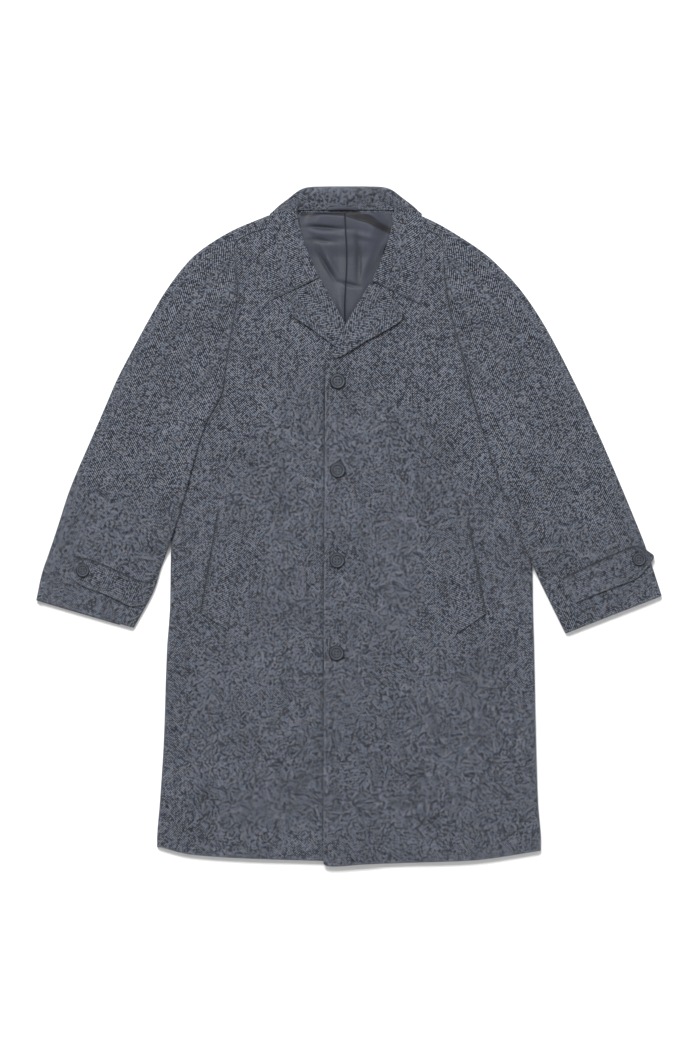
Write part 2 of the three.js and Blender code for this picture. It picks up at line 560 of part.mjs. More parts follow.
// Front half of a sleeve where it is folded over at its inner edge and turned under
function foldedPath(station) {
  const start = station.wrap + SEAM / 2;
  const topZ = foldHeight(station);
  const side = sideAlong(station);
  const flatness = 1 - smooth((station.t - UNDERARM) / 0.9);
  const below = drapedMid(station.width - side, ...station.place(station.width), flatness);
  const radius = Math.max((topZ - below) / 2, TIGHT_FOLD);
  const high = below + 2 * radius;
  const reach = Math.min(radius, FOLD_REACH);
  const centre = station.width - HALF_WALL - reach;
  const top = spread(start, centre, TOP_COLUMNS).map((s) => [s, sleeveTopMid(station, s)]);
  const arc = spread(0, Math.PI, 4).slice(1).map((a) => [
    centre + reach * Math.sin(a),
    high - radius * (1 - Math.cos(a)),
  ]);
  const end = station.t <= UNDERARM ? armholeEndAlong(station) : underarmAlong(station) + 1.5 * SEAM;
  const roomy = centre - end > 12;
  const tuck = TUCK_STOPS.map((q, k) => {
    const left = TUCK_STOPS.length - 1 - k;
    const even = mix(centre, end, (k + 1) / TUCK_STOPS.length);
    const wanted = Math.min(Math.max(side + q, end + left * TUCK_STEP), centre - TUCK_STEP * (k + 1));
    const beside = left === 0 ? end : wanted;
    const s = roomy ? beside : even;
    return [s, Math.min(drapedMid(s - side, ...station.place(s), flatness), below)];
  });
  return [...top, ...arc, ...tuck];
}

const frontSleevePath = (station) => (station.turn <= 90 ? turningPath(station) : foldedPath(station));

function frontSleeve(hand) {
  const name = hand === RIGHT ? 'front_sleeve_right' : 'front_sleeve_left';
  const last = SLEEVES[hand].length - 1;
  const [over, under] = [[], []];
  for (const t of [TOP_SEAM_START, ...stationsFrom(3, last)]) {
    const station = sleeveStation(hand, t);
    const path = frontSleevePath(station);
    const ends = { first: [1, 0] };
    if (station.turn < 1) ends.last = [1, 0];
    if (station.t > UNDERARM + 0.4) ends.last = [-1, 0];
    const [a, b] = thickenPath(path, CLOTH, ends);
    over.push(sectionToSpace(station, a));
    under.push(sectionToSpace(station, b));
  }
  return wallMesh(name, over, under, WOOL);
}

// Body

const NECK_ROWS = [942, 908, 893, 868, 858, 840, 828, 815];   // where the lapel and roll line turn
const SIDE_DROPS = [12, 24, 40, 75, 120, 180, 250, 330, 410, 490, 570, 640];   // below the underarm
const HEM_LEVEL = 30;         // height at which the hem's sections are worked out
const SIDE_TURN = 26;         // drop over which the side seam turns into a fold

// Rows of a front above the underarm follow the sleeve's stations, so that the seam fits
function frontRows(hand) {
  const rows = [];
  for (const t of spread(0, SEAM_END, SEAM_END)) {
    const station = sleeveStation(hand, t);
    rows.push({ y: station.inY, out: station.inX, rolled: 0, gap: SEAM, hem: false });
  }
  for (const y of NECK_ROWS) rows.push({ ...rows[0], y, out: lookup(rows, 'y', 'out', y) });
  rows.sort((a, b) => b.y - a.y);
  const point = UNDERARM_POINT[hand];
  const seamEnd = rows[rows.length - 1];
  rows.push({ ...seamEnd, y: seamEnd.y - 6, out: seamEnd.out + 5 });
  rows.push({ ...seamEnd, y: point.y, out: point.x - 4 });
  for (const drop of SIDE_DROPS) {
    const y = point.y - drop;
    rows.push({ y, out: bodySide(hand, y), rolled: smooth(drop / SIDE_TURN), gap: 0, hem: false });
  }
  rows.push({ y: HEM_LEVEL, out: bodySide(hand, HEM_LEVEL), rolled: 1, gap: 0, hem: true });
  return rows;
}

// Height of the middle line in the side fold, d being the distance in from the fold
function sideFoldMid(flat, d, rolled, upper) {
  const reach = FOLD_WIDTH - HALF_WALL;
  const u = clamp((FOLD_WIDTH - d) / reach);
  const seam = FOLD_MID + (upper ? SEAM / 2 : -SEAM / 2);
  return mix(flat, seam + (flat - seam) * Math.sqrt(1 - u * u), rolled);
}

const FOLD_STEPS = [90, 66, 42, 20, 0];
function foldStops(rolled) {
  const reach = FOLD_WIDTH - HALF_WALL * rolled;
  return FOLD_STEPS.map((a) => FOLD_WIDTH - reach * Math.sin(rad(a)));
}

const ROLL_RADIUS = (LAYER + LAPEL_LOFT) / 2;
const EDGE_STOPS = [0, 10, 32, 52, 60, 68, 84];   // columns near a front's inner edge
const EDGE_FIT = 240;         // a front narrower than this has its columns drawn together
const ROLL_END = { [RIGHT]: 818, [LEFT]: 803 };   // lower end of the roll line
const ROLL_TOP = 984;         // the fronts are drawn back up to this height
const DRAW_BACK = (ROLL_RADIUS + HALF_WALL) * 1.18 + SEAM;

// Inner edge of a front, drawn back where a lapel or the collar turns round it
function frontInner(hand, y) {
  const edge = lookup(NECK_EDGE[hand], 'y', 'x', y) * hand;
  return edge + DRAW_BACK * smooth((y - ROLL_END[hand]) / 6) * smooth((ROLL_TOP - y) / 20);
}

function frontPanel(hand) {
  const name = hand === RIGHT ? 'front_right' : 'front_left';
  const hem = hand === RIGHT ? HEMS.frontRight : HEMS.frontLeft;
  const [over, under] = [[], []];
  for (const row of frontRows(hand)) {
    const inner = frontInner(hand, row.y);
    const outer = row.out - row.gap;
    const squeeze = Math.min(1, (outer - inner) / EDGE_FIT);
    const fold = foldStops(row.rolled).map((d) => outer - d * squeeze);
    const near = EDGE_STOPS.map((stop) => inner + stop * squeeze);
    const flat = spread(outer - FOLD_WIDTH * squeeze, near[near.length - 1], 5).slice(1, -1);
    const mid = [...fold, ...flat, ...near.reverse()].map((m) => {
      const level = panelMid(hand, hand * m, row.y);
      const d = (outer - m) / squeeze;
      return [m, d < FOLD_WIDTH ? sideFoldMid(level, d, row.rolled, true) : level];
    });
    const ends = {};
    if (row.rolled === 0) ends.first = [-1, 0];
    if (row.rolled > 0.9) ends.first = [0, 1];
    const [a, b] = thickenPath(mid, CLOTH, ends);
    const rowY = (x) => (row.hem ? lookup(hem, 'x', 'y', x) : row.y);
    const placed = (side) => side.map(([m, z]) => [hand * m, rowY(hand * m), z]);
    over.push(placed(a));
    under.push(placed(b));
  }
  return wallMesh(name, over, under, WOOL);
}

const BACK_ROWS = [1046, 1016, 1001, 996, 990, 984, 977, 971, 930, 870, 810, 750, 710, 686];
const BACK_COLUMNS = 6;

// Half width of the back: the raglan seam above the underarm and the side fold below it
function backHalf(hand, y) {
  const point = UNDERARM_POINT[hand];
  if (y > point.y) return mix(point.x, RAGLAN_NECK.x, (y - point.y) / (RAGLAN_NECK.y - point.y)) - SEAM;
  return bodySide(hand, y) - (y === UNDERARM_POINT[RIGHT].y ? SEAM : 0);
}

function backPanel() {
  const [over, under] = [[], []];
  const underarm = UNDERARM_POINT[RIGHT].y;
  const rows = [
    ...BACK_ROWS.map((y) => ({ y, rolled: 0 })),
    ...SIDE_DROPS.map((drop) => ({ y: underarm - drop, rolled: smooth(drop / SIDE_TURN) })),
    { y: HEM_LEVEL, rolled: 1, hem: true },
  ];
  for (const row of rows) {
    const right = backHalf(RIGHT, row.y);
    const left = backHalf(LEFT, row.y);
    const fold = foldStops(row.rolled);
    const across = [
      ...fold.map((d) => -right + d),
      ...spread(-right + FOLD_WIDTH, left - FOLD_WIDTH, BACK_COLUMNS).slice(1, -1),
      ...fold.map((d) => left - d).reverse(),
    ];
    const mid = across.map((x) => {
      const level = FLOOR_MID + leafLift(x, row.y);
      const d = x < 0 ? x + right : left - x;
      return [x, d < FOLD_WIDTH ? sideFoldMid(level, d, row.rolled, false) : level];
    });
    const ends = row.rolled > 0.9 ? { first: [0, -1], last: [0, 1] } : {};
    const [a, b] = thickenPath(mid, CLOTH, ends);
    const rowY = (x) => (row.hem ? lookup(HEMS.back, 'x', 'y', x) : row.y);
    const placed = (side) => side.map(([x, z]) => [x, rowY(x), z]);
    over.push(placed(a));
    under.push(placed(b));
  }
  return wallMesh('back', over, under, WOOL);
}

// Lapels

const NOTCH_WAY = [0.66, 0.69];   // direction in which the gorge bulges, outwards and up
const SETTLE = 34;            // distance from the roll line over which a lapel or leaf settles down

// One line of a lapel from the roll line, where it curls up from the front's edge, to its outer edge
function lapelLine(hand, t) {
  const rows = LAPELS[hand];
  const roll = [along(rows, 'rollX', t), along(rows, 'rollY', t)];
  const edge = [along(rows, 'edgeX', t), along(rows, 'edgeY', t)];
  const width = Math.hypot(edge[0] - roll[0], edge[1] - roll[1]);
  const way = [(edge[0] - roll[0]) / width, (edge[1] - roll[1]) / width];
  const loft = LAPEL_LOFT * clamp(along(rows, 'loft', t));
  const radius = (LAYER + loft) / 2;
  const centre = HALF_WALL + radius;
  const notch = NOTCH_RISE * (1 - smooth(t / 1.6));
  const place = (q) => {
    const before = q / (NOTCH_ALONG * width);
    const after = (width - q) / ((1 - NOTCH_ALONG) * width);
    const bulge = notch * Math.max(Math.min(before, after), 0);
    return [
      roll[0] + way[0] * q + hand * NOTCH_WAY[0] * bulge,
      roll[1] + way[1] * q + NOTCH_WAY[1] * bulge,
    ];
  };
  const level = (q) => panelMid(hand, ...place(q));
  const curl = spread(-90, 90, 5).map((a) => [
    centre - radius * Math.cos(rad(a)),
    level(centre) + radius + radius * Math.sin(rad(a)),
  ]);
  const flat = spread(centre, width, 8).slice(1).map((q) => [
    q,
    level(q) + LAYER + LIE + loft * (1 - smooth((q - centre) / SETTLE)),
  ]);
  return [...curl, ...flat].map(([q, z]) => [...place(q), z]);
}

function lapel(hand) {
  const name = hand === RIGHT ? 'lapel_right' : 'lapel_left';
  const last = LAPELS[hand].length - 1;
  const grid = spread(0, last, last * 2).map((t) => lapelLine(hand, t));
  const [over, under] = thickenGrid(grid, CLOTH);
  return wallMesh(name, over, under, WOOL);
}

// Collar

// Full row of collar stations from the right gorge round the back to the left gorge
function collarStations(rows, steps) {
  const last = rows.length - 1;
  const half = spread(0, last, last * steps).map((t) => {
    const row = {};
    for (const key of Object.keys(rows[0])) row[key] = along(rows, key, t);
    return row;
  });
  const right = half.map((row) => ({ ...row, hand: RIGHT }));
  const left = half.map((row) => ({ ...row, hand: LEFT })).reverse();
  return [...right, ...left];
}

const LEFT_DROP = 1.05;     // the left gorge and leaf point lie a little lower than the right ones
const SHOULDER_Y = 1040;

function collarPlace(hand, x, y) {
  const low = hand === LEFT && y < SHOULDER_Y ? SHOULDER_Y - (SHOULDER_Y - y) * LEFT_DROP : y;
  return [COLLAR_MIDDLE + hand * x, low];
}

function collarStand() {
  const grid = collarStations(STAND, 1).map((row) => {
    const neck = collarPlace(row.hand, row.neckX, row.neckY);
    const top = collarPlace(row.hand, row.topX, row.topY);
    return spread(0, 1, 4).map((f) => [
      mix(neck[0], top[0], f),
      mix(neck[1], top[1], f),
      mix(row.neckZ, row.topZ, smooth(f)) + 0.2 * Math.sin(Math.PI * f),
    ]);
  });
  const [over, under] = thickenGrid(grid, CLOTH);
  return wallMesh('collar_stand', over, under, WOOL);
}

const STAND_TOP = 10.2;       // middle of the stand's top edge in front of the shoulder
const LEAF_OVER_STAND = Math.max(STAND_TOP + LAYER, 12.8);
const BACK_FOLD_TOP = 9.9;    // middle of the leaf's top layer behind the neck

// Middle of the leaf's top layer at a place, q being the distance from the roll line
function leafTop(hand, x, y, q) {
  const rest = panelMid(hand, x, y) + LAYER;
  const away = (SHOULDER_Y + 18 - y) / 30;
  return mix(LEAF_OVER_STAND, rest, smooth(away)) + LAPEL_LOFT * (1 - smooth(q / SETTLE));
}

// One line of the leaf: up round the roll line, outwards, and round the outline fold where it has one
function leafLine(row) {
  const { hand, folded } = row;
  const roll = collarPlace(hand, row.rollX, row.rollY);
  const fold = collarPlace(hand, row.foldX, row.foldY);
  const edge = collarPlace(hand, row.edgeX, row.edgeY);
  const reach = Math.hypot(fold[0] - roll[0], fold[1] - roll[1]);
  const way = [(fold[0] - roll[0]) / reach, (fold[1] - roll[1]) / reach];
  const behind = smooth((row.rollY - 1056) / 16);
  const curl = rad(clamp(row.curl, 0, 180));
  const start = HALF_WALL + ROLL_RADIUS;
  const level = (x, y) => {
    const q = Math.hypot(x - roll[0], y - roll[1]);
    return mix(leafTop(hand, x, y, q), BACK_FOLD_TOP, behind);
  };
  const begin = [roll[0] + way[0] * start, roll[1] + way[1] * start];
  const points = spread(curl, 0, 4).slice(0, -1).map((a) => {
    const q = start - ROLL_RADIUS * Math.sin(a) - (1 - curl / Math.PI) * (start - 2);
    return [roll[0] + way[0] * q, roll[1] + way[1] * q, level(...begin) - ROLL_RADIUS * (1 - Math.cos(a))];
  });
  const stretch = (from, to, fractions) => {
    for (const f of fractions) {
      const [x, y] = [mix(from[0], to[0], f), mix(from[1], to[1], f)];
      points.push([x, y, level(x, y)]);
    }
  };
  if (folded <= 0.1) {
    stretch(begin, fold, spread(0, 1, 4).slice(0, -1));
    stretch(fold, edge, spread(0, 1, 9));
    return points;
  }
  const outward = [-hand * Math.cos(rad(row.out)), Math.sin(rad(row.out))];
  const half = (level(...fold) - FLOOR_MID) / 2;
  const turn = Math.min(half, FOLD_REACH);
  const pivot = fold.map((v, k) => v - outward[k] * (turn + HALF_WALL));
  stretch(begin, pivot, spread(0, 1, 4).slice(0, -1));
  for (const a of spread(0, 180 * folded, 6)) {
    const r = turn * Math.sin(rad(a));
    const z = FLOOR_MID + half + half * Math.cos(rad(a));
    points.push([pivot[0] + outward[0] * r, pivot[1] + outward[1] * r, z]);
  }
  const turned = points[points.length - 1];
  for (const f of spread(0, 1, 3).slice(1)) {
    const hanging = [turned[0], turned[1], turned[2] - 1.4 * f];
    const lying = [mix(pivot[0], edge[0], f), mix(pivot[1], edge[1], f), FLOOR_MID];
    points.push(folded < 1 ? hanging : lying);
  }
  return points;
}

function collarLeaf() {
  const [over, under] = thickenGrid(collarStations(LEAF, 1).map(leafLine), CLOTH);
  return wallMesh('collar_leaf', over, under, WOOL);
}

// Lining and hanging loop

const LINING_TOP = 1045;
const LINING_FOOT = 836;
const LINING_EDGE = 8;        // the lining stays flat this far in from its sides, under the fronts
const LINING_RISE = 26;       // and its folds have their whole height over this width

function liningMesh() {
  const [over, under] = [[], []];
  for (const y of spread(LINING_FOOT, LINING_TOP, 13)) {
    const half = lookup(LINING_SIDES, 'y', 'half', y);
    const sheet = spread(COLLAR_MIDDLE - half, COLLAR_MIDDLE + half, 10).map((x) => {
      const inside = half - LINING_EDGE - Math.abs(x - COLLAR_MIDDLE);
      const open = smooth(inside / LINING_RISE) * smooth((y - 850) / 40) * smooth((LINING_TOP + 1 - y) / 10);
      const rise = (ridges(LINING_FOLDS, x, y) + 0.8) * open;
      return [x, y, CLOTH + SEAM + LIE + leafLift(x, y) + rise];
    });
    under.push(sheet);
    over.push(sheet.map(([x, yy, z]) => [x, yy, z + LINING]));
  }
  return wallMesh('back_lining', over, under, LINING_CLOTH);
}

const LOOP = { from: -34, to: 14, y: 1054, width: 5.6, thick: 1.4, rise: 2.2, lean: 0.5 };

// The hanging loop's ends are sewn down on the collar stand and its middle stands off it
function hangerLoop(stand) {
  const seat = surfaceOf([stand]);
  const [over, under] = [[], []];
  for (const f of spread(0, 1, 12)) {
    const arch = Math.sin(Math.PI * f);
    const x = mix(LOOP.from, LOOP.to, f);
    const y = LOOP.y + 1.5 * arch;
    const z = seat(x, y) + SEAM + LOOP.rise * arch ** 0.8;
    const low = [[x, y - LOOP.width / 2, z - LOOP.lean / 2], [x, y + LOOP.width / 2, z + LOOP.lean / 2]];
    under.push(low);
    over.push(low.map(([px, py, pz]) => [px, py, pz + LOOP.thick]));
  }
  return wallMesh('hanger_loop', over, under, LINING_CLOTH);
}

// Height of a finished wall's upper face at a place, or null where the wall isn't there
function surfaceOf(meshes) {
  const triangles = [];
  for (const mesh of meshes) {
    const position = mesh.geometry.getAttribute('position');
    const index = mesh.geometry.getIndex().array;
    for (let i = 0; i < index.length; i += 3) {
      triangles.push([0, 1, 2].map((k) => new THREE.Vector3().fromBufferAttribute(position, index[i + k])));
    }
  }
  return (x, y) => {
    let best = null;
    for (const [a, b, c] of triangles) {
      const area = (b.x - a.x) * (c.y - a.y) - (c.x - a.x) * (b.y - a.y);
      if (Math.abs(area) < 1e-9) continue;
      const u = ((b.x - x) * (c.y - y) - (c.x - x) * (b.y - y)) / area;
      const v = ((c.x - x) * (a.y - y) - (a.x - x) * (c.y - y)) / area;
      const w = 1 - u - v;
      if (u < -1e-6 || v < -1e-6 || w < -1e-6) continue;
      const z = u * a.z + v * b.z + w * c.z;
      if (best === null || z > best) best = z;
    }
    return best;
  };
}

const STEP_DOWN = 2.5;        // a strip bridges steps deeper than this and doesn't follow them

// Strip of cloth lying on a finished wall, from its two long edges. Where its end reaches past the
// cloth below, it goes on at the height that it had last.
function stripOn(name, surface, topEdge, bottomEdge, thick, cuts) {
  const edgePoint = (edge, f) => {
    const rows = edge.map(([x, y]) => ({ x, y }));
    const t = f * (edge.length - 1);
    return [along(rows, 'x', t), along(rows, 'y', t)];
  };
  const strip = spread(0, 1, cuts).map((f) => {
    const [a, b] = [edgePoint(topEdge, f), edgePoint(bottomEdge, f)];
    const line = spread(0, 1, 3).map((g) => [mix(a[0], b[0], g), mix(a[1], b[1], g)]);
    const heights = line.map(([x, y]) => surface(x, y));
    const found = heights.filter((z) => z !== null);
    const highest = Math.max(...found);
    const settled = heights.map((z) => (z === null || z < highest - STEP_DOWN ? highest : z));
    return { line, known: found.length > 0, heights: settled };
  });
  const nearest = (i) => {
    const known = strip.map((row, k) => k).filter((k) => strip[k].known);
    return known.reduce((best, k) => (Math.abs(k - i) < Math.abs(best - i) ? k : best));
  };
  const lower = strip.map((row, i) => {
    const { heights } = strip[nearest(i)];
    return row.line.map(([x, y], k) => [x, y, heights[k] + SEAM + STRIP_LIE]);
  });
  const upper = lower.map((row) => row.map(([x, y, z]) => [x, y, z + thick]));
  return wallMesh(name, upper, lower, WOOL);
}

function pocketWelt(hand, panel) {
  const { outer, inner, lowOuter, lowInner } = WELTS[hand];
  const name = hand === RIGHT ? 'pocket_welt_right' : 'pocket_welt_left';
  return stripOn(name, surfaceOf([panel]), [outer, lowOuter], [inner, lowInner], WELT_THICK, 6);
}

function cuffTab(hand, sleeve) {
  const name = hand === RIGHT ? 'cuff_tab_right' : 'cuff_tab_left';
  return stripOn(name, surfaceOf(sleeve), TABS[hand].top, TABS[hand].bottom, TAB_THICK, 12);
}

const BUTTON_SIDES = 14;

// Button with a raised rim and a shallow dish
function buttonMesh(name, size, place, surface) {
  const r = size / 2;
  const profile = [
    [0, 0], [r * 0.8, 0.4], [r, 2.2], [r * 0.94, 3.7], [r * 0.84, 4.2], [r * 0.72, 3.9], [r * 0.6, 2.8],
    [0, 2.5],
  ];
  const shape = profile.map(([x, y]) => new THREE.Vector2(x, y));
  const geometry = new THREE.LatheGeometry(shape, BUTTON_SIDES);
  geometry.rotateX(Math.PI / 2);
  const mesh = new THREE.Mesh(geometry, HORN);
  mesh.name = name;
  const [x, y] = place;
  const rim = spread(0, 330, 11).map((a) => surface(x + r * Math.cos(rad(a)), y + r * Math.sin(rad(a))));
  const highest = Math.max(surface(x, y), ...rim.filter((z) => z !== null));
  mesh.position.set(x, y, highest + SEAM);
  return mesh;
}

// The whole coat
const group = new THREE.Group();
const panels = { [RIGHT]: frontPanel(RIGHT), [LEFT]: frontPanel(LEFT) };
const stand = collarStand();
group.add(backPanel(), panels[RIGHT], panels[LEFT], liningMesh(), hangerLoop(stand));
group.add(stand, collarLeaf(), lapel(RIGHT), lapel(LEFT));
for (const hand of [RIGHT, LEFT]) {
  const side = hand === RIGHT ? 'right' : 'left';
  const sleeve = [backSleeve(hand), frontSleeve(hand)];
  const tab = cuffTab(hand, sleeve);
  group.add(...sleeve, tab, pocketWelt(hand, panels[hand]));
  group.add(buttonMesh(`cuff_button_${side}`, CUFF_BUTTON, CUFF_BUTTONS[hand], surfaceOf([tab])));
}
FRONT_BUTTONS.forEach((place, i) => {
  group.add(buttonMesh(`button_${i + 1}`, FRONT_BUTTON, place, surfaceOf([panels[LEFT]])));
});

const box = new THREE.Box3().setFromObject(group);
const middle = box.getCenter(new THREE.Vector3());
group.position.set(-middle.x, -middle.y, -box.min.z);

export default group;
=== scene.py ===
# Wool overcoat lying flat on its back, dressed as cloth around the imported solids.
# The coat's sizes are in millimetres: x from the middle of the back towards the wearer's left, y up
# from the lowest point of the hem, z above the surface. They become metres when a mesh is made.
import math
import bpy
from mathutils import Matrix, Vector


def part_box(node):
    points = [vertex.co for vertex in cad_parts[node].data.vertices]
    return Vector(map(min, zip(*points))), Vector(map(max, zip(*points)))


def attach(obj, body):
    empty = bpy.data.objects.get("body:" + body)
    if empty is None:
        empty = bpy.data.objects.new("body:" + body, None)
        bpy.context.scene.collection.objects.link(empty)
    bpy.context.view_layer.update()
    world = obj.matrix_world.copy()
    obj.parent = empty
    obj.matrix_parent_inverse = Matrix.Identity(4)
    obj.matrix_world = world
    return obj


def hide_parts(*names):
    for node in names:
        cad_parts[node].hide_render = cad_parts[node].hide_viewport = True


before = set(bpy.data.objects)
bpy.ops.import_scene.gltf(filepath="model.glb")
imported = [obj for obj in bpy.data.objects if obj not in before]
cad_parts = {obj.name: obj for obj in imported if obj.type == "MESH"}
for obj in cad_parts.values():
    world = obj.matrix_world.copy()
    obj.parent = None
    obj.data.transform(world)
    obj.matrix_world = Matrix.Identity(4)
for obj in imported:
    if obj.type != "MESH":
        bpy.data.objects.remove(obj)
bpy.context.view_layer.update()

from types import SimpleNamespace

import bpy
import numpy as np
from mathutils import Vector
from mathutils.bvhtree import BVHTree

MM = 0.001
RIGHT, LEFT = -1, 1
SIDE_NAME = {RIGHT: "right", LEFT: "left"}
ROOT = "root"

# Cloth and the way it lies
CLOTH = 2.6
LINING = 1.2
SEAM = 0.3
LIE = 0.4
LAPEL_LIE = 0.9
HOLLOW_TOP = 8.6
FOLD_WIDTH = 8.0
LAPEL_LOFT = 2.6
HALF_WALL = CLOTH / 2
LAYER = CLOTH + SEAM
FLOOR_MID = HALF_WALL
FOLD_MID = (HOLLOW_TOP + CLOTH) / 2
ROLL_RADIUS = (LAYER + LAPEL_LOFT) / 2

# How closely the shells are divided
FINE = 4.0
COARSE = 9.0
EDGE_STEPS = np.array([0.0, 0.12, 0.42, 0.9, 1.5, 2.6])
EDGE_ROOM = 2.2 * EDGE_STEPS[-1]   # a narrower sheet has the points at its edges drawn together
LEAST_ROUND = 0.012        # what is left of a rounded edge's thickness at its very end, squared
NO_EDGE_NEAR = 99.0

# Reach of an edge's wear and of the painted shade along a seam, and how round each kind of edge is
WEAR_REACH = 2.6
SEWN_EDGE = 0.4
ARMHOLE_EDGE = 0.9
SEAM_SHADE_REACH = 3.0
# How dark the painted shade along the armhole seam is
ARMHOLE_SHADE = 0.5
# Painted shadow on the right front along the left front's edge, which lies on it: how dark and its reach
EDGE_SHADE = 0.75
EDGE_SHADE_REACH = 5.0
# Above this height the armhole seam's painted shade fades out and its edges are less rounded
SEAM_SHOWS = 950           # the armhole seam fades out above this height
SEAM_FADE = 30
SHADE_START = 2.6          # sleeve row at which the shade along the armhole starts
SHADE_START_ROWS = 0.6
SEWN_TURN = 60             # the shade ends while the inner edge turns from this angle to twice as much

# Sleeves: where their cloth rises over the body's side fold, folds over and tucks under
UNDER_LONGER = {RIGHT: 0.03, LEFT: 0.0}   # how many rows the under layer is longer at the cuff
SIDE_SEARCH = 90           # the body's side fold lies at most this far past the inner edge
SIDE_CLEAR = 16            # the underarm seam lies this far outside the body's side fold
SIDE_CLEAR_ROWS = 0.6
UNDER_TURN = 22            # width turned under at the inner edge where the sleeve lies free
DRAPE_LEAD = 12.5          # a sheet starts to rise this far outside the body's side fold
DRAPE_SLACK = 10
DRAPE_WIDTH = 15
TURN_RADIUS = 3.0
FOLD_REACH = 4.2
TIGHT_FOLD = 1.7
FREE_FOLD = 8.2
STACKED_FOLD = 4.4
STACKED_RISE = 6
RISE_WIDTH = 60.0
RISE_CLEAR = {"seam": 4, "side": 14, "fold": 6}
BEND_WIDTH = 24.0
FLAT_ROWS = 0.9            # rows past the underarm over which the drape's slack comes to its end
TUCKED_ROWS = 0.4          # from this many rows past the underarm on, the tuck ends level
LEAST_TUCK = 12
TUCK_STOPS = np.array([3.0, -1.0, -5.0, -9.0, -16.0])
TUCK_STEP = 1.5

# Body
ARMHOLE_TURN = (5, 6)      # out and down, where the armhole seam turns towards the underarm
UNDERARM_IN = 4
BACK_SEAM_END = 674        # the gap along the back's side seam grows from this height up, over the fade
BACK_SEAM_FADE = 12
SIDE_TURN = 26             # drop over which the side seam turns into a fold
HEM_LEVEL = 46
HEM_SHARES = np.array([0.12, 0.25, 0.38, 0.5, 0.62, 0.74, 0.84, 0.91, 0.95, 0.975, 0.99, 1.0])
BACK_TOP = 1046
PANEL_WIDTH = 240.0        # a panel narrower than this has its edges' points drawn together
EDGE_STITCH = 7.0
EDGE_DENT = 0.5
DENT_WIDTH = 1.1
FRONT_EDGE_STOPS = [4, 5.3, 6.2, 7, 7.8, 8.7, 10, 14, 19, 25, 32]
LAPEL_FOOT = 780           # above this height the left front also covers the end of the right lapel
FOOT_RISE = 24
OVERLAP_END = 50
OVERLAP_SLOPE = 38
LIFT_LEAD = 26             # the cloth starts to rise this far before the leaf's lower edge
LIFT_WIDTH = 24
LIFT_END = 21
LIFT_SIDE = 20


def table(columns, rows):
    """Named columns of a short table as arrays."""
    data = np.array(rows, float)
    return {name: data[:, i] for i, name in enumerate(columns.split())}


# Sleeve stations from neck to cuff: the outer fold, the inner edge of the top layer, how far the
# back half comes round onto the front side, and the turn of the cloth at the inner edge in degrees
SLEEVE_COLUMNS = "out_x out_y in_x in_y wrap turn"
SLEEVES = {
    RIGHT: table(SLEEVE_COLUMNS, [
        (115, 1045, 104, 1030, 30, 0), (135, 1038, 125, 1022, 30, 0), (189, 1015, 179, 998, 30, 0),
        (238, 984, 181, 955, 17, 0), (267, 955, 178, 923, 14, 0), (296, 915, 182, 885, 12, 0),
        (320, 874, 189, 849, 11, 0), (346, 826, 196, 803, 10, 0), (370, 780, 203, 755, 10, 30),
        (387, 741, 226, 711, 10, 90), (402, 706, 238, 680, 10, 180), (413, 681, 245, 654, 10, 180),
        (445, 606, 267, 574, 10, 180), (466, 542, 287, 512, 10, 180), (478, 506, 300, 478, 10, 180),
        (491, 468, 313, 438, 10, 180), (500, 426, 344, 381, 10, 180),
    ]),
    LEFT: table(SLEEVE_COLUMNS, [
        (103, 1044, 94, 1030, 30, 0), (124, 1036, 114, 1020, 30, 0), (157, 1019, 147, 1002, 30, 0),
        (211, 984, 152, 957, 17, 0), (245, 954, 156, 922, 14, 0), (277, 918, 164, 878, 12, 0),
        (307, 874, 176, 836, 11, 0), (334, 826, 187, 794, 10, 0), (357, 781, 198, 745, 10, 30),
        (378, 738, 213, 698, 10, 90), (391, 708, 222, 673, 10, 180), (403, 682, 228, 646, 10, 180),
        (434, 610, 254, 576, 10, 180), (460, 547, 278, 515, 10, 180), (473, 514, 293, 481, 10, 180),
        (486, 476, 311, 443, 10, 180), (500, 432, 346, 372, 10, 180),
    ]),
}
SEAM_END = 9
UNDERARM = 10
TOP_SEAM_START = 2.2
UNDERARM_POINT = {RIGHT: (270, 686), LEFT: (268, 683)}
RAGLAN_NECK = (62, 1043)

# Side fold of the body below the underarm, as half widths at heights above the hem
BODY_SIDES = table("y right left", [
    (0, 307, 307), (35, 307, 307), (106, 302, 302), (202, 296, 299), (346, 291, 296),
    (418, 286, 294), (490, 285, 293), (545, 283, 289), (618, 278, 280), (686, 270, 268),
])
HEMS = {
    "back": table("x y", [(-303, 30), (-200, 14), (0, 9), (200, 12), (303, 28)]),
    RIGHT: table("x y", [(-306, 32), (-253, 19), (-171, 13), (-45, 9), (12, 8)]),
    LEFT: table("x y", [(-41, 5), (-38.5, 2), (-34, 0.4), (-24, 0), (20, 3), (100, 6), (189, 9), (307, 25)]),
}
# Inner edge of each front: neck seam, roll line, then front edge
NECK_EDGE = {
    RIGHT: table("y x", [(0, 12), (790, 12), (826, 12), (866, -5), (941, -49), (978, -77),
                         (1010, -93), (1030, -100)]),
    LEFT: table("y x", [(0, -41), (746, -38), (797, -37), (866, -5), (931, 35), (976, 67),
                        (1008, 84), (1030, 90)]),
}
ROLL_END = {RIGHT: 818, LEFT: 803}
ROLL_TOP = 984
ROLL_START = 6             # heights over which the front's edge is drawn back behind the roll
ROLL_FADE = 20
DRAW_BACK = (ROLL_RADIUS + HALF_WALL) * 1.18 + SEAM

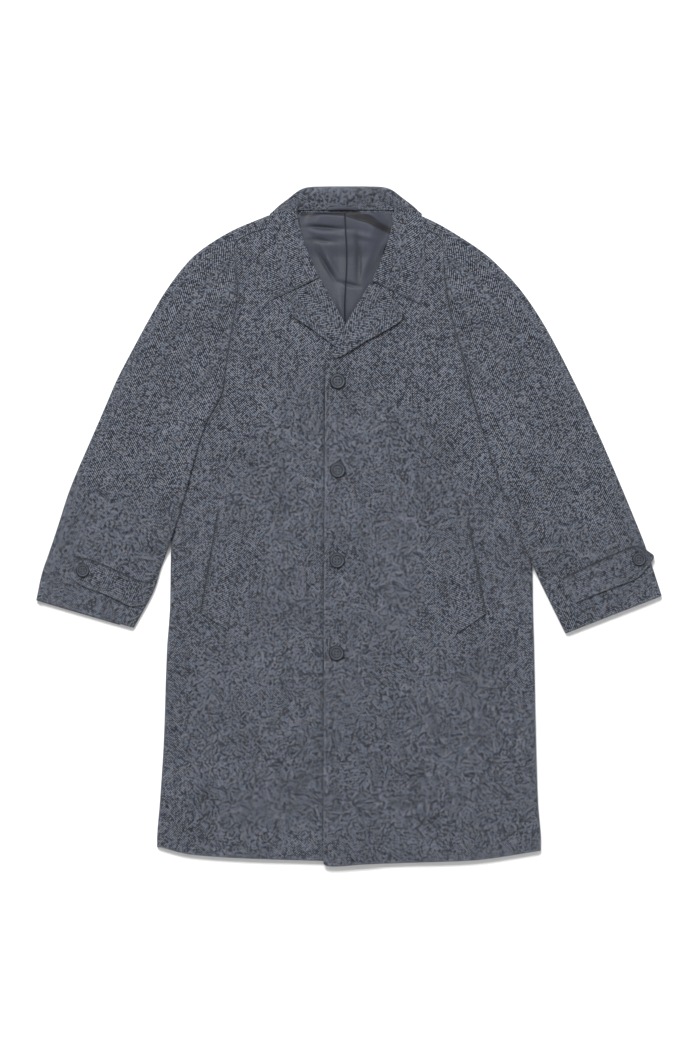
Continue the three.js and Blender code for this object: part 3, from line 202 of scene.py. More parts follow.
# Lapel stations from the gorge down: points on the roll line and on the outer edge
LAPEL_COLUMNS = "roll_x roll_y edge_x edge_y loft"
LAPELS = {
    RIGHT: table(LAPEL_COLUMNS, [
        (-46, 940, -97, 893, 1), (-35, 921, -88, 878, 1), (-20, 893, -62, 860, 0.8),
        (-7, 869, -38, 842, 0.25), (3, 847, -19, 828, 0.1), (9, 831, -4, 817, 0.1),
    ]),
    LEFT: table(LAPEL_COLUMNS, [
        (32, 930, 84, 888, 1), (24, 916, 83, 872, 1), (10, 893, 57, 855, 1),
        (-6, 864, 26, 838, 1), (-20, 834, -3, 820, 0.6), (-28, 817, -20, 811, 0.1),
    ]),
}
NOTCH_ALONG = 0.46
NOTCH_RISE = 8.5
NOTCH_ROWS = 1.6
NOTCH_WAY = (0.66, 0.69)
SETTLE = 34.0
EDGE_LIFT_START = 30       # width at a lapel's outer edge over which it is lifted
EDGE_LIFT_WIDTH = 26
LAPEL_EDGE_ROWS = np.array([0, 0.002, 0.008, 0.017, 0.03, 0.05])

# Half of the collar from the gorge to the middle of the back, as distances from its own middle
COLLAR_MIDDLE = -5
LEAF = table("roll_x roll_y fold_x fold_y edge_x edge_y folded curl out", [
    (41, 941, 90, 917, 120, 904, 0, 180, 130), (57, 974, 97, 951, 124, 935, 0, 180, 130),
    (66, 998, 101, 980, 126, 967, 0, 180, 130), (73, 1022, 104, 1010, 126, 1001, 0, 180, 130),
    (76, 1041, 108, 1036, 125.5, 1030, 0, 180, 130), (77, 1046, 111, 1042, 123, 1036.5, 0, 170, 130),
    (77, 1049, 121, 1042.5, 118, 1036, 0.5, 150, 130), (77, 1052, 116, 1047.5, 111.5, 1041, 1, 135, 130),
    (77, 1056, 107, 1056, 98, 1022, 1, 120, 128), (76, 1063, 90, 1069, 84, 1012, 1, 80, 122),
    (70, 1070, 74, 1081, 66, 1006, 1, 40, 110), (57, 1075, 58, 1086, 52, 1002, 1, 10, 95),
    (30, 1076, 30, 1087, 28, 999, 1, 10, 90),
])
STAND = table("neck_x neck_y neck_z top_x top_y top_z", [
    (70, 980, 9.9, 65.5, 982, 9.9), (79, 998, 9.9, 72, 1000, 9.9), (86, 1012, 9.9, 78, 1018, 9.9),
    (92.5, 1030, 9.4, 82, 1037, 9.8), (92, 1040, 7.4, 83, 1049, 8.4), (84, 1047, 5.2, 76.5, 1064, 10.5),
    (64, 1049, 4.3, 66, 1083.5, 12.4), (30, 1049, 4.3, 30, 1085, 12.4),
])
LEFT_DROP = 1.05
SHOULDER_Y = 1040
SHOULDER_LEAD = 18
SHOULDER_RISE = 30
LEAF_UNDER_EDGE = 998
LEAF_HALF = 125
LEAF_END_RISE = 42
LEAF_TOP_Z = 13.1          # middle of the leaf's wall over the shoulder, and behind the neck
LEAF_BEHIND_Z = 9.9
BEHIND_Y = 1056
BEHIND_RISE = 16
LEAF_LEAST_CURL = 2
LEAF_END_DROP = 1.4
LEAST_FOLDED = 0.1         # rows that are folded less have no bend
ROLL_INSET = 2             # how far in from its roll line a line that hardly curls begins
STAND_RISE = 1.3           # how soon the stand rises
STAND_DIP = 1.3            # how far its top edge then dips, from this share of its width
STAND_DIP_FROM = 0.88

# Long soft folds pressed into the front layer, as in the solids
FOLD_COLUMNS = "x y angle length width rise"
SOFT_FOLDS = table(FOLD_COLUMNS, [
    (-232, 640, 62, 150, 26, 1.5), (222, 600, 118, 150, 28, 1.4), (-120, 300, 88, 230, 46, 1.0),
    (150, 250, 94, 240, 52, 1.1), (96, 660, 74, 120, 34, 0.9), (-100, 690, 105, 110, 32, 0.8),
    (-360, 640, 65, 140, 24, 1.6), (372, 600, 114, 150, 26, 1.5),
])
# Smaller creases on the fronts and sleeves, uneven in length, depth and spacing
CREASES = table(FOLD_COLUMNS, [
    (-150, 810, 58, 46, 8, -0.7), (-176, 770, 70, 60, 9, 0.7), (142, 800, 118, 52, 8, -0.7),
    (166, 752, 108, 62, 10, 0.7), (-60, 740, 96, 70, 12, -0.6), (34, 726, 84, 60, 11, -0.6),
    (-232, 470, 84, 90, 14, 0.8), (240, 470, 97, 96, 14, 0.8), (-80, 180, 86, 130, 20, -0.7),
    (-206, 200, 92, 120, 16, 0.8), (84, 160, 95, 120, 18, -0.6), (236, 180, 88, 110, 16, 0.8),
    (-250, 880, 48, 60, 12, 0.9), (-276, 838, 40, 44, 8, -0.8), (-330, 740, 60, 80, 12, -0.8),
    (-300, 620, 68, 70, 12, 0.9), (-402, 590, 70, 80, 12, 0.8), (-376, 520, 60, 60, 10, -0.7),
    (232, 876, 132, 60, 12, 0.9), (262, 830, 140, 44, 8, -0.8), (322, 720, 118, 80, 12, -0.8),
    (290, 616, 112, 70, 12, 0.9), (400, 580, 110, 84, 12, 0.8), (366, 500, 120, 60, 10, -0.7),
])
LINING_SIDES = table("y half", [
    (836, 30), (866, 30), (900, 46), (941, 58), (980, 60), (1008, 72), (1026, 78), (1045, 70),
])
LINING_FOLDS = table(FOLD_COLUMNS, [
    (-44, 1021, 176, 32, 3.2, -3.0), (-50, 1001, 172, 20, 3.6, -2.6), (-44, 1011, 175, 34, 5, 1.6),
    (-38, 961, 122, 32, 3.6, -2.2), (-30, 966, 122, 34, 5, 1.4), (0, 930, 168, 15, 3.4, -2.4),
    (46, 971, 62, 26, 6, -1.8), (36, 975, 66, 30, 7, 1.6), (15, 972, 90, 40, 5, -1.6),
    (-14, 900, 96, 34, 7, 1.2), (26, 1006, 165, 22, 5, 1.4),
])
# Where the lining's crest lies behind the neck, and how far behind it the neck facing starts
NECK_CREST = table("x y", [
    (-84, 1036), (-44, 1040), (-7, 1038), (2, 1035), (18, 1030), (29, 1027), (46, 1018), (70, 1006),
])
PATCH_START = 12.0
# The lining's relief: how far each form rises over its own width
PLEAT_RISE = 1.4
CREST_RISE = 3.4
PATCH_RISE = 3.0
FOLD_STRENGTH = 1.5
LOWEST_FOLD = -2.6
LINING_LOFT = 2.8
LINING_HEM = 8             # width at the lining's sides that lies flat
LINING_ENDS = (836, 1045)
# How dark the lining's painted shade is in its seam's groove, along a band right of the seam and in the dents
# of its folds
GROOVE_SHADE = 0.8
BAND_SHADE = 0.35
DENT_SHADE = 0.5
# Hanging loop: the x of its ends, its bow, rise and tilt, and the stops across its width
LOOP_ENDS = (-34, 14)
LOOP_BOW = 1.5
LOOP_RISE = 2.2
LOOP_TILT = 0.09
LOOP_THICK = 1.4
LOOP_EDGE = 0.8
LOOP_ACROSS = np.array([-2.8, -2.5, -1.8, 0, 1.8, 2.5, 2.8])
WELTS = {
    RIGHT: {"outer": (-210, 570), "inner": (-166, 557), "low_outer": (-238, 406), "low_inner": (-194, 378)},
    LEFT: {"outer": (191, 558), "inner": (141, 545), "low_outer": (220, 404), "low_inner": (170, 371)},
}
TABS = {
    RIGHT: {"top": [(-438, 487), (-420, 493), (-369, 473), (-334, 457), (-316, 455)],
            "bottom": [(-442, 459), (-423, 447), (-386, 433), (-350, 416), (-326, 418)]},
    LEFT: {"top": [(338, 460), (395, 487), (452, 511), (472, 507), (485, 499)],
           "bottom": [(362, 421), (410, 441), (457, 459), (474, 475), (485, 488)]},
}
WELT_THICK = 3.2
TAB_THICK = 3.0
FRONT_BUTTONS = [(-18, 775), (-18, 633), (-19, 489), (-20, 341)]
CUFF_BUTTONS = {RIGHT: (-425, 473), LEFT: (463, 491)}
FRONT_BUTTON = 25.0
CUFF_BUTTON = 22.0
TAB_TIPS = {RIGHT: {"row": 0, "way": (-5.5, -1.5)}, LEFT: {"row": 4, "way": (2.5, 0.5)}}
LOOP_Y = 1050.5
EDGE_LIFT = 3.4
STITCH_IN = 6.0
STITCH_STOPS = STITCH_IN + np.array([-1.4, -0.7, 0.0, 0.7, 1.4])
STRIP_LIE = 0.6
STRIP_DENT = 0.45
WELT_STEP = 3.0
TAB_STEP = 2.4
TIP_ROWS = 0.5             # rows over which a tab's end comes to its soft point
SOFTENING = 12             # passes that soften the cloth's heights under a strip
SINK_STEP = 0.05
# Painted shade along a strip's open side: how dark, and its reach
OPEN_SHADE = 0.9
OPEN_REACH = 3.2
# Threads as radii and lengths; a thread's shape is its thickness at shares of its length
THREAD = 0.26
BUTTON_CORD = 0.3
HOLE_THREAD = 0.34
THREAD_SHAPE = ((0.0, 0.45), (0.14, 1.0), (0.86, 1.0), (1.0, 0.45))
STITCH = 3.1
STITCH_GAP = 0.9
STITCH_SINK = 0.12
STEEPEST_STITCH = 1.5
EDGE_LINE = (52, 806)      # heights between which the front's edge is stitched
# Buttonholes, from the button's middle towards the wearer's left
HOLE_START = 4
HOLE_END = 24.5
HOLE_PITCH = 0.62
HOLE_HALF = 0.25
HOLE_BAR = 1.5
# Button: its front and back as heights at shares of its radius, and its four holes
BUTTON_FRONT = table("share z", [
    (0, 2.5), (0.3, 2.45), (0.5, 2.3), (0.58, 2.2), (0.64, 3.0), (0.7, 3.9), (0.8, 4.2), (0.9, 4.0),
    (0.97, 3.3), (1.0, 2.4),
])
BUTTON_BACK = table("share z", [(1.0, 2.2), (0.97, 1.3), (0.9, 0.6), (0.6, 0.35), (0.02, 0.3)])
BUTTON_SHARES = np.concatenate([np.linspace(0.02, 0.56, 30), np.linspace(0.58, 1.0, 26)])
BUTTON_SIDES = 96
# The dish's edge, and the share of the radius where the rim's painted shade starts
DISH_EDGE = 0.6
RIM_SHADE_FROM = 0.83
HOLE = 1.25
HOLE_SPREAD = 0.19
HOLE_DEPTH = 1.5
CORD_Z = 2.45
CORD_STEP = 0.22
SEAT_SHARE = 0.9           # a button rests on the highest cloth at this share of its radius

# Colours of the yarns, the dark colours of painted shade, and strengths of the light
WOOL_DARK = (0.003, 0.004, 0.008)
WOOL_COOL = (0.13, 0.149, 0.187)
WOOL_WARM = (0.149, 0.155, 0.181)
WOOL_LINT = (0.26, 0.28, 0.32)
WOOL_RUBBED = (0.2, 0.22, 0.255)
WOOL_PAINTED_SHADE = (0.008, 0.009, 0.013)
LINING_DARK = (0.026, 0.029, 0.041)
LINING_LIGHT = (0.044, 0.049, 0.066)
LINING_PAINTED_SHADE = (0.006, 0.006, 0.009)
BUTTON_DARK = (0.03, 0.034, 0.045)
BUTTON_LIGHT = (0.064, 0.072, 0.09)
BUTTON_RUBBED = (0.1, 0.11, 0.135)
BUTTON_PAINTED_SHADE = (0.004, 0.005, 0.008)
THREAD_COLOUR = (0.05, 0.056, 0.072)
CORD_COLOUR = (0.022, 0.025, 0.034)
KEY_SPOT = (-0.8, 3.3, 4.9)
KEY_SIZE = 2.2
KEY_POWER = 450.0
FILL_SPOT = (1.4, -2.2, 4.4)
FILL_SIZE = 3.5
FILL_POWER = 60.0
AMBIENT = 0.37

# Floor and camera, in metres but for the lens and its sensor in millimetres
FLOOR_HALF = 6
FLOOR_Z = -0.0006
LENS = 135
SENSOR = 36
VIEW_LENGTH = 1.68
CAMERA_X, CAMERA_Y = 0.0016, 0.002

# The tables' zero is placed in the frame by the first button, which is in both
button_low, button_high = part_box("button_1")
SHIFT = np.array([
    (button_low.x + button_high.x) / 2 / MM - FRONT_BUTTONS[0][0],
    (button_low.y + button_high.y) / 2 / MM - FRONT_BUTTONS[0][1],
    0.0,
])


# Small helpers

def mix(a, b, t):
    return a + (b - a) * t


def smooth(t):
    t = np.clip(t, 0.0, 1.0)
    return t * t * (3 - 2 * t)


def hermite(a, slope_a, b, slope_b, f):
    """Smooth way from a to b with a slope at each end, f being the share of the way."""
    f2, f3 = f * f, f * f * f
    return (a * (2 * f3 - 3 * f2 + 1) + slope_a * (f3 - 2 * f2 + f)
            + b * (3 * f2 - 2 * f3) + slope_b * (f3 - f2))


def spline(column, t):
    """Smooth curve through a table's column, at fractional row numbers."""
    last = len(column) - 1
    i = np.clip(np.floor(t).astype(int), 0, last - 1)
    f = np.asarray(t, float) - i
    a, b, c, d = (column[np.clip(i + k, 0, last)] for k in (-1, 0, 1, 2))
    slope_b = np.where(i == 0, c - b, (c - a) / 2)
    slope_c = np.where(i == last - 1, c - b, (d - b) / 2)
    return hermite(b, slope_b, c, slope_c, f)


def curve(xs, ys, x):
    """Smooth curve through points whose xs rise, which never runs past its points' heights."""
    step = np.diff(xs)
    slope = np.diff(ys) / step
    before, after = slope[:-1], slope[1:]
    inner = np.where(before * after > 0, 2 * before * after / (before + after + 1e-12), 0)
    tangent = np.concatenate([[slope[0]], inner, [slope[-1]]])
    x = np.clip(x, xs[0], xs[-1])
    i = np.clip(np.searchsorted(xs, x) - 1, 0, len(step) - 1)
    h = step[i]
    return hermite(ys[i], h * tangent[i], ys[i + 1], h * tangent[i + 1], (x - xs[i]) / h)


def ridges(folds, x, y):
    """Sum of soft ridges and troughs at places."""
    rise = np.zeros(np.broadcast(x, y).shape)
    for k in range(len(folds["x"])):
        turn = math.radians(folds["angle"][k])
        c, s = math.cos(turn), math.sin(turn)
        dx, dy = x - folds["x"][k], y - folds["y"][k]
        along = (dx * c + dy * s) / folds["length"][k]
        across = (dy * c - dx * s) / folds["width"][k]
        rise = rise + folds["rise"][k] * np.exp(-along * along - across * across)
    return rise


def body_side(hand, y):
    return curve(BODY_SIDES["y"], BODY_SIDES[SIDE_NAME[hand]], y)


def leaf_lift(x, y):
    """How far the back and the shoulders are lifted by the leaf of the collar under them."""
    side = np.abs(x - COLLAR_MIDDLE)
    edge = LEAF_UNDER_EDGE + LEAF_END_RISE * (side / LEAF_HALF) ** 4
    risen = LAYER * smooth((y - edge + LIFT_LEAD) / LIFT_WIDTH)
    return risen * smooth((LEAF_HALF + LIFT_END - side) / LIFT_SIDE)


def front_mid(x, y):
    return HOLLOW_TOP + HALF_WALL + ridges(SOFT_FOLDS, x, y) + ridges(CREASES, x, y)


def overlap_lift(x, y):
    """The left front lies on the right front and on the end of the right lapel."""
    edge = curve(NECK_EDGE[RIGHT]["y"], NECK_EDGE[RIGHT]["x"], y)
    over_lapel = smooth((y - LAPEL_FOOT) / FOOT_RISE)
    return (LAYER + over_lapel * (LAYER + LAPEL_LIE)) * smooth((edge + OVERLAP_END - x) / OVERLAP_SLOPE)


def panel_mid(hand, x, y):
    return front_mid(x, y) + (overlap_lift(x, y) if hand == LEFT else 0.0)


def rounded(d, radius=HALF_WALL):
    """Share of the cloth's thickness at a distance in from its edge, for a soft round edge."""
    inside = 1 - np.clip(d / radius, 0, 1)
    return np.sqrt(np.maximum(1 - inside ** 2, LEAST_ROUND))


def lengths(path):
    steps = np.linalg.norm(np.diff(path, axis=0), axis=1)
    return np.concatenate([[0], np.cumsum(steps)])


def resample(path, stops):
    reach = lengths(path)
    return np.stack([np.interp(stops, reach, path[:, k]) for k in range(path.shape[1])], axis=1)


def section_faces(mid, thick, first=None, last=None):
    """Both faces of a wall in a section, half the thickness to each side of its middle path."""
    ahead = np.roll(mid, -1, axis=0)
    behind = np.roll(mid, 1, axis=0)
    ahead[-1], behind[0] = mid[-1], mid[0]
    tangent = ahead - behind
    if first is not None:
        tangent[0] = first
    if last is not None:
        tangent[-1] = last
    tangent /= np.maximum(np.linalg.norm(tangent, axis=1, keepdims=True), 1e-9)
    normal = np.stack([-tangent[:, 1], tangent[:, 0]], axis=1)
    shift = normal * np.reshape(thick, (-1, 1)) / 2
    return mid + shift, mid - shift


def grid_faces(grid, thick):
    """Both faces of a wall from a grid of middle points in space."""
    across = np.gradient(grid, axis=1)
    down = np.gradient(grid, axis=0)
    normal = np.cross(across, down)
    normal /= np.maximum(np.linalg.norm(normal, axis=2, keepdims=True), 1e-9)
    shift = normal * np.reshape(thick, (*grid.shape[:2], 1)) / 2
    return grid + shift, grid - shift


def cut_map(grid):
    """Distances across and down a grid of points, as the flat cut that the cloth was made from."""
    across = np.cumsum(np.linalg.norm(np.diff(grid, axis=1), axis=2), axis=1)
    across = np.concatenate([np.zeros((len(grid), 1)), across], axis=1)
    middle = grid.shape[1] // 2
    down = lengths(grid[:, middle])
    across -= across[:, middle:middle + 1]
    return np.stack([across, np.broadcast_to(down[:, None], across.shape)], axis=2)


def border_distance(grid, joined=""):
    """How far each point of a grid lies from its nearest border, but for a border joined to other cloth."""
    across = np.linalg.norm(np.diff(grid, axis=1), axis=2)
    down = np.linalg.norm(np.diff(grid, axis=0), axis=2)
    from_left = np.concatenate([np.zeros((len(grid), 1)), np.cumsum(across, axis=1)], axis=1)
    from_top = np.concatenate([np.zeros((1, grid.shape[1])), np.cumsum(down, axis=0)], axis=0)
    to_right = from_left[:, -1:] - from_left
    sides = {"": np.minimum(from_left, to_right), "first": to_right, "last": from_left}[joined]
    ends = np.minimum(from_top, from_top[-1:] - from_top)
    return np.minimum(sides, ends)


# Meshes

def new_object(name, points, faces, uv):
    """Object from points in millimetres, each with its place on the flat cut."""
    mesh = bpy.data.meshes.new(name)
    mesh.from_pydata([tuple(p) for p in (points + SHIFT) * MM], [], faces)
    layer = mesh.uv_layers.new(name="grain")
    loop_points = np.zeros(len(mesh.loops), np.int32)
    mesh.loops.foreach_get("vertex_index", loop_points)
    layer.data.foreach_set("uv", (uv[loop_points] * MM).astype(np.float32).ravel())
    mesh.shade_smooth()
    obj = bpy.data.objects.new(name, mesh)
    bpy.context.scene.collection.objects.link(obj)
    return obj


def add_mask(obj, name, *parts):
    """Value of each point, from the grids of values of the object's parts."""
    mask = obj.data.attributes.new(name, "FLOAT", "POINT")
    mask.data.foreach_set("value", np.concatenate([part.ravel() for part in parts]).astype(np.float32))


def wall(name, over, under, uv, painted_shade=None):
    """Closed wall from its two faces, which are grids of points."""
    rows, cols = over.shape[:2]
    top = np.arange(rows * cols).reshape(rows, cols)
    low = top + rows * cols

    def quads(a, b, c, d):
        return np.stack([a.ravel(), b.ravel(), c.ravel(), d.ravel()], axis=1)

    faces = np.concatenate([
        quads(top[:-1, :-1], top[:-1, 1:], top[1:, 1:], top[1:, :-1]),
        quads(low[:-1, :-1], low[1:, :-1], low[1:, 1:], low[:-1, 1:]),
        quads(top[:-1, 0], top[1:, 0], low[1:, 0], low[:-1, 0]),
        quads(top[:-1, -1], low[:-1, -1], low[1:, -1], top[1:, -1]),
        quads(top[0, :-1], low[0, :-1], low[0, 1:], top[0, 1:]),
        quads(top[-1, :-1], top[-1, 1:], low[-1, 1:], low[-1, :-1]),
    ])
    points = np.concatenate([over.reshape(-1, 3), under.reshape(-1, 3)])
    p, q, r, s = (points[faces[:, k]] for k in range(4))
    volume = (np.cross(q, r) * p).sum() + (np.cross(r, s) * p).sum()
    if volume < 0:
        faces = faces[:, ::-1]
    flat = uv.reshape(-1, 2)
    obj = new_object(name, points, faces.tolist(), np.concatenate([flat, flat]))
    worn = np.exp(-(border_distance((over + under) / 2) / WEAR_REACH) ** 2)
    # Besides the wear of the cloth's own edges, each point gets a painted shade mask, zero where none is
    # given
    if painted_shade is None:
        painted_shade = np.zeros(over.shape[:2])
    add_mask(obj, "worn", worn, worn)
    add_mask(obj, "painted_shade", painted_shade, painted_shade)
    return obj


def dress(obj, material, node):
    """Gives an object its material and its place in the part, as the look of a solid."""
    obj.data.materials.append(material)
    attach(obj, ROOT)
    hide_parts(node)


def declare_cut(uv):
    """Works out the flat cut's width and length from the map along the cloth's grain; nothing uses them."""
    across, down = uv[:, :, 0], uv[:, :, 1]
    width, length = np.ptp(across) * MM, np.ptp(down) * MM


def stacked(rows):
    """Grids of a shell's faces, flat cut and painted shade from its rows, which hold a row of each."""
    return tuple(np.array(part) for part in zip(*rows))


def spaced(start, end, step):
    count = max(2, int(math.ceil(abs(end - start) / step)))
    return np.linspace(start, end, count + 1)


# Sleeves

def station_at(hand, t):
    """A line across the sleeve from its outer fold to its inner edge."""
    rows = SLEEVES[hand]
    out = np.array([spline(rows["out_x"], t), spline(rows["out_y"], t)])
    inner = np.array([spline(rows["in_x"], t), spline(rows["in_y"], t)])
    width = float(np.linalg.norm(inner - out))
    way = (inner - out) / width
    wrap = min(float(spline(rows["wrap"], t)), width - 2 * SEAM)
    turn = float(np.interp(t, np.arange(len(rows["turn"])), rows["turn"]))
    station = SimpleNamespace(hand=hand, t=float(t), out=out, width=width, way=way, wrap=wrap, turn=turn)
    reach = np.linspace(0, width + SIDE_SEARCH, 500)
    x, y = place(station, reach)
    outside = np.abs(x) > body_side(hand, y)
    station.side = float(reach[outside][-1]) if outside.any() else 0.0
    return station


def place(station, s):
    """The x and y of points on a station's line, from their distances in from the outer fold."""
    return station.hand * (station.out[0] + station.way[0] * s), station.out[1] + station.way[1] * s


def seam_along(station, start, end):
    """How far along a station's line it meets the straight seam between two points."""
    seam = (end[0] - start[0], end[1] - start[1])
    cross = station.way[0] * seam[1] - station.way[1] * seam[0]
    return ((start[0] - station.out[0]) * seam[1] - (start[1] - station.out[1]) * seam[0]) / cross


def raglan_along(station):
    return seam_along(station, RAGLAN_NECK, UNDERARM_POINT[station.hand])


def armhole_end_along(station):
    rows = SLEEVES[station.hand]
    start = (rows["in_x"][SEAM_END], rows["in_y"][SEAM_END])
    return seam_along(station, start, UNDERARM_POINT[station.hand])


def underarm_along(station):
    clear = SIDE_CLEAR * smooth((station.t - UNDERARM) / SIDE_CLEAR_ROWS) + 2 * SEAM
    return min(station.width - UNDER_TURN, station.side - clear)


def draped_mid(q, x, y, flatness):
    """Height of a sheet draped over the body's side fold, q being the distance in from the fold."""
    over = front_mid(x, y) + LAYER + LIE
    return mix(FLOOR_MID, over, smooth((q + DRAPE_LEAD + DRAPE_SLACK * flatness) / DRAPE_WIDTH))


def fold_height(station):
    """Middle of the sleeve's top layer at its inner edge."""
    x, y = place(station, station.width)
    quarter = front_mid(x, y) + TURN_RADIUS * (1 - math.cos(math.radians(min(station.turn, 90))))
    if station.turn <= 90:
        return float(quarter)
    below = draped_mid(station.width - station.side, x, y, 0)
    free = FLOOR_MID + FREE_FOLD
    resting = mix(free, below + STACKED_FOLD, smooth((below - FLOOR_MID) / STACKED_RISE))
    return float(mix(quarter, max(resting, free), smooth((station.turn - 90) / 90)))


def rise_end(station):
    """Distance in from the outer fold at which the top layer reaches its height at the inner edge."""
    if station.t <= SEAM_END:
        return station.width
    under = station.side - RISE_CLEAR["side"]
    if station.t <= UNDERARM:
        under = armhole_end_along(station) - RISE_CLEAR["seam"]
    return min(under, station.width - RISE_CLEAR["fold"])


def sleeve_top_mid(station, s):
    x, y = place(station, s)
    risen = smooth((s - rise_end(station) + RISE_WIDTH) / RISE_WIDTH)
    return mix(front_mid(x, y), station.fold_z, risen)


def floor_under_sleeve(station, s):
    x, y = place(station, s)
    return FLOOR_MID + leaf_lift(x, y)


def outer_fold(station):
    floor = float(floor_under_sleeve(station, FOLD_WIDTH))
    half = (float(sleeve_top_mid(station, FOLD_WIDTH)) - floor) / 2
    turn = np.radians(np.linspace(-90, 90, 33))
    reach = FOLD_WIDTH - HALF_WALL
    return np.stack([FOLD_WIDTH - reach * np.cos(turn), floor + half + half * np.sin(turn)], axis=1)


def in_space(station, section):
    x, y = place(station, section[:, 0])
    return np.stack([x, y, section[:, 1]], axis=1)


def sleeve_stations(hand, first, longer=0.0):
    """Stations every few millimetres down the sleeve, closer together at the two open edges."""
    rows = SLEEVES[hand]
    last = len(rows["turn"]) - 1 + longer
    t = np.linspace(first, last, 400)
    middle = np.stack([(spline(rows["out_x"], t) + spline(rows["in_x"], t)) / 2,
                       (spline(rows["out_y"], t) + spline(rows["in_y"], t)) / 2], axis=1)
    reach = lengths(middle)
    total = reach[-1]
    inner = spaced(EDGE_STEPS[-1], total - EDGE_STEPS[-1], FINE)[1:-1]
    wanted = np.concatenate([EDGE_STEPS, inner, total - EDGE_STEPS[::-1]])
    stations = []
    for down, at in zip(wanted, np.interp(wanted, reach, t)):
        station = station_at(hand, at)
        station.down = down
        station.edge = min(down, total - down)
        station.fold_z = fold_height(station)
        stations.append(station)
    return stations


def seam_shade(distance):
    """Soft painted shade along a seam."""
    return np.exp(-(distance / SEAM_SHADE_REACH) ** 2)


def back_sleeve(hand):
    rows = []
    for station in sleeve_stations(hand, 0, UNDER_LONGER[hand]):
        held = raglan_along(station) - SEAM if station.t <= UNDERARM else underarm_along(station)
        s = np.linspace(held - SEAM, FOLD_WIDTH + 1, 40)
        bottom = np.stack([s, floor_under_sleeve(station, s)], axis=1)
        s = np.linspace(FOLD_WIDTH + 0.5, station.wrap - SEAM / 2, 12)
        top = np.stack([s, sleeve_top_mid(station, s)], axis=1)
        fold = outer_fold(station)
        path = np.concatenate([bottom, fold, top])
        flat, turned, total = (lengths(p)[-1] for p in (bottom, fold, path))
        edge = EDGE_STEPS * min(1.0, (total - flat - turned) / EDGE_ROOM)
        stops = np.concatenate([
            EDGE_STEPS,
            np.linspace(EDGE_STEPS[-1], flat, 20)[1:],
            np.linspace(flat, flat + turned, 14)[1:],
            np.linspace(flat + turned, total - edge[-1], 8)[1:-1],
            total - edge[::-1],
        ])
        mid = resample(path, stops)
        thick = CLOTH * rounded(stops) * rounded(total - stops, SEWN_EDGE) * rounded(station.edge)
        a, b = section_faces(mid, thick, first=(-1, 0), last=(1, 0))
        cut = np.stack([stops - flat, np.full(len(stops), station.down)], axis=1)
        rows.append((in_space(station, a), in_space(station, b), cut))
    return stacked(rows)


def turning_path(station):
    """Front half of a sleeve where the armhole seam holds it: its top layer, then its end."""
    start = station.wrap + SEAM / 2
    turn = math.radians(station.turn)
    centre = station.width - (TURN_RADIUS + HALF_WALL) * math.sin(turn)
    bend = min(BEND_WIDTH, (centre - start) / 2)
    s = np.linspace(start, centre - bend, 40)
    top = np.stack([s, sleeve_top_mid(station, s)], axis=1)
    s = np.linspace(centre - bend, centre, 20)
    slope = np.stack([s, sleeve_top_mid(station, s)], axis=1)
    angle = np.linspace(0, turn, 10)[1:]
    arc = np.stack([centre + TURN_RADIUS * np.sin(angle),
                    station.fold_z - TURN_RADIUS * (1 - np.cos(angle))], axis=1)
    return top, np.concatenate([slope, arc]) if turn > 0 else slope


def folded_path(station):
    """Front half of a sleeve where it is folded over at its inner edge and turned under."""
    start = station.wrap + SEAM / 2
    flatness = 1 - smooth((station.t - UNDERARM) / FLAT_ROWS)
    below = float(draped_mid(station.width - station.side, *place(station, station.width), flatness))
    radius = max((station.fold_z - below) / 2, TIGHT_FOLD)
    high = below + 2 * radius
    reach = min(radius, FOLD_REACH)
    centre = station.width - HALF_WALL - reach
    s = np.linspace(start, centre, 40)
    top = np.stack([s, sleeve_top_mid(station, s)], axis=1)
    angle = np.linspace(0, math.pi, 16)[1:]
    arc = np.stack([centre + reach * np.sin(angle), high - radius * (1 - np.cos(angle))], axis=1)
    end = armhole_end_along(station) if station.t <= UNDERARM else underarm_along(station) + 1.5 * SEAM
    count = len(TUCK_STOPS)
    left = count - 1 - np.arange(count)
    step = np.arange(1, count + 1)
    if centre - end > LEAST_TUCK:
        s = np.maximum(station.side + TUCK_STOPS, end + left * TUCK_STEP)
        s = np.minimum(s, centre - TUCK_STEP * step)
        s[-1] = end
    else:
        s = mix(centre, end, step / count)
    s = np.interp(np.linspace(0, count, 24)[1:], np.arange(count + 1), np.concatenate([[centre], s]))
    x, y = place(station, s)
    tuck = np.stack([s, np.minimum(draped_mid(s - station.side, x, y, flatness), below)], axis=1)
    return top, np.concatenate([top[-1:], arc, tuck])


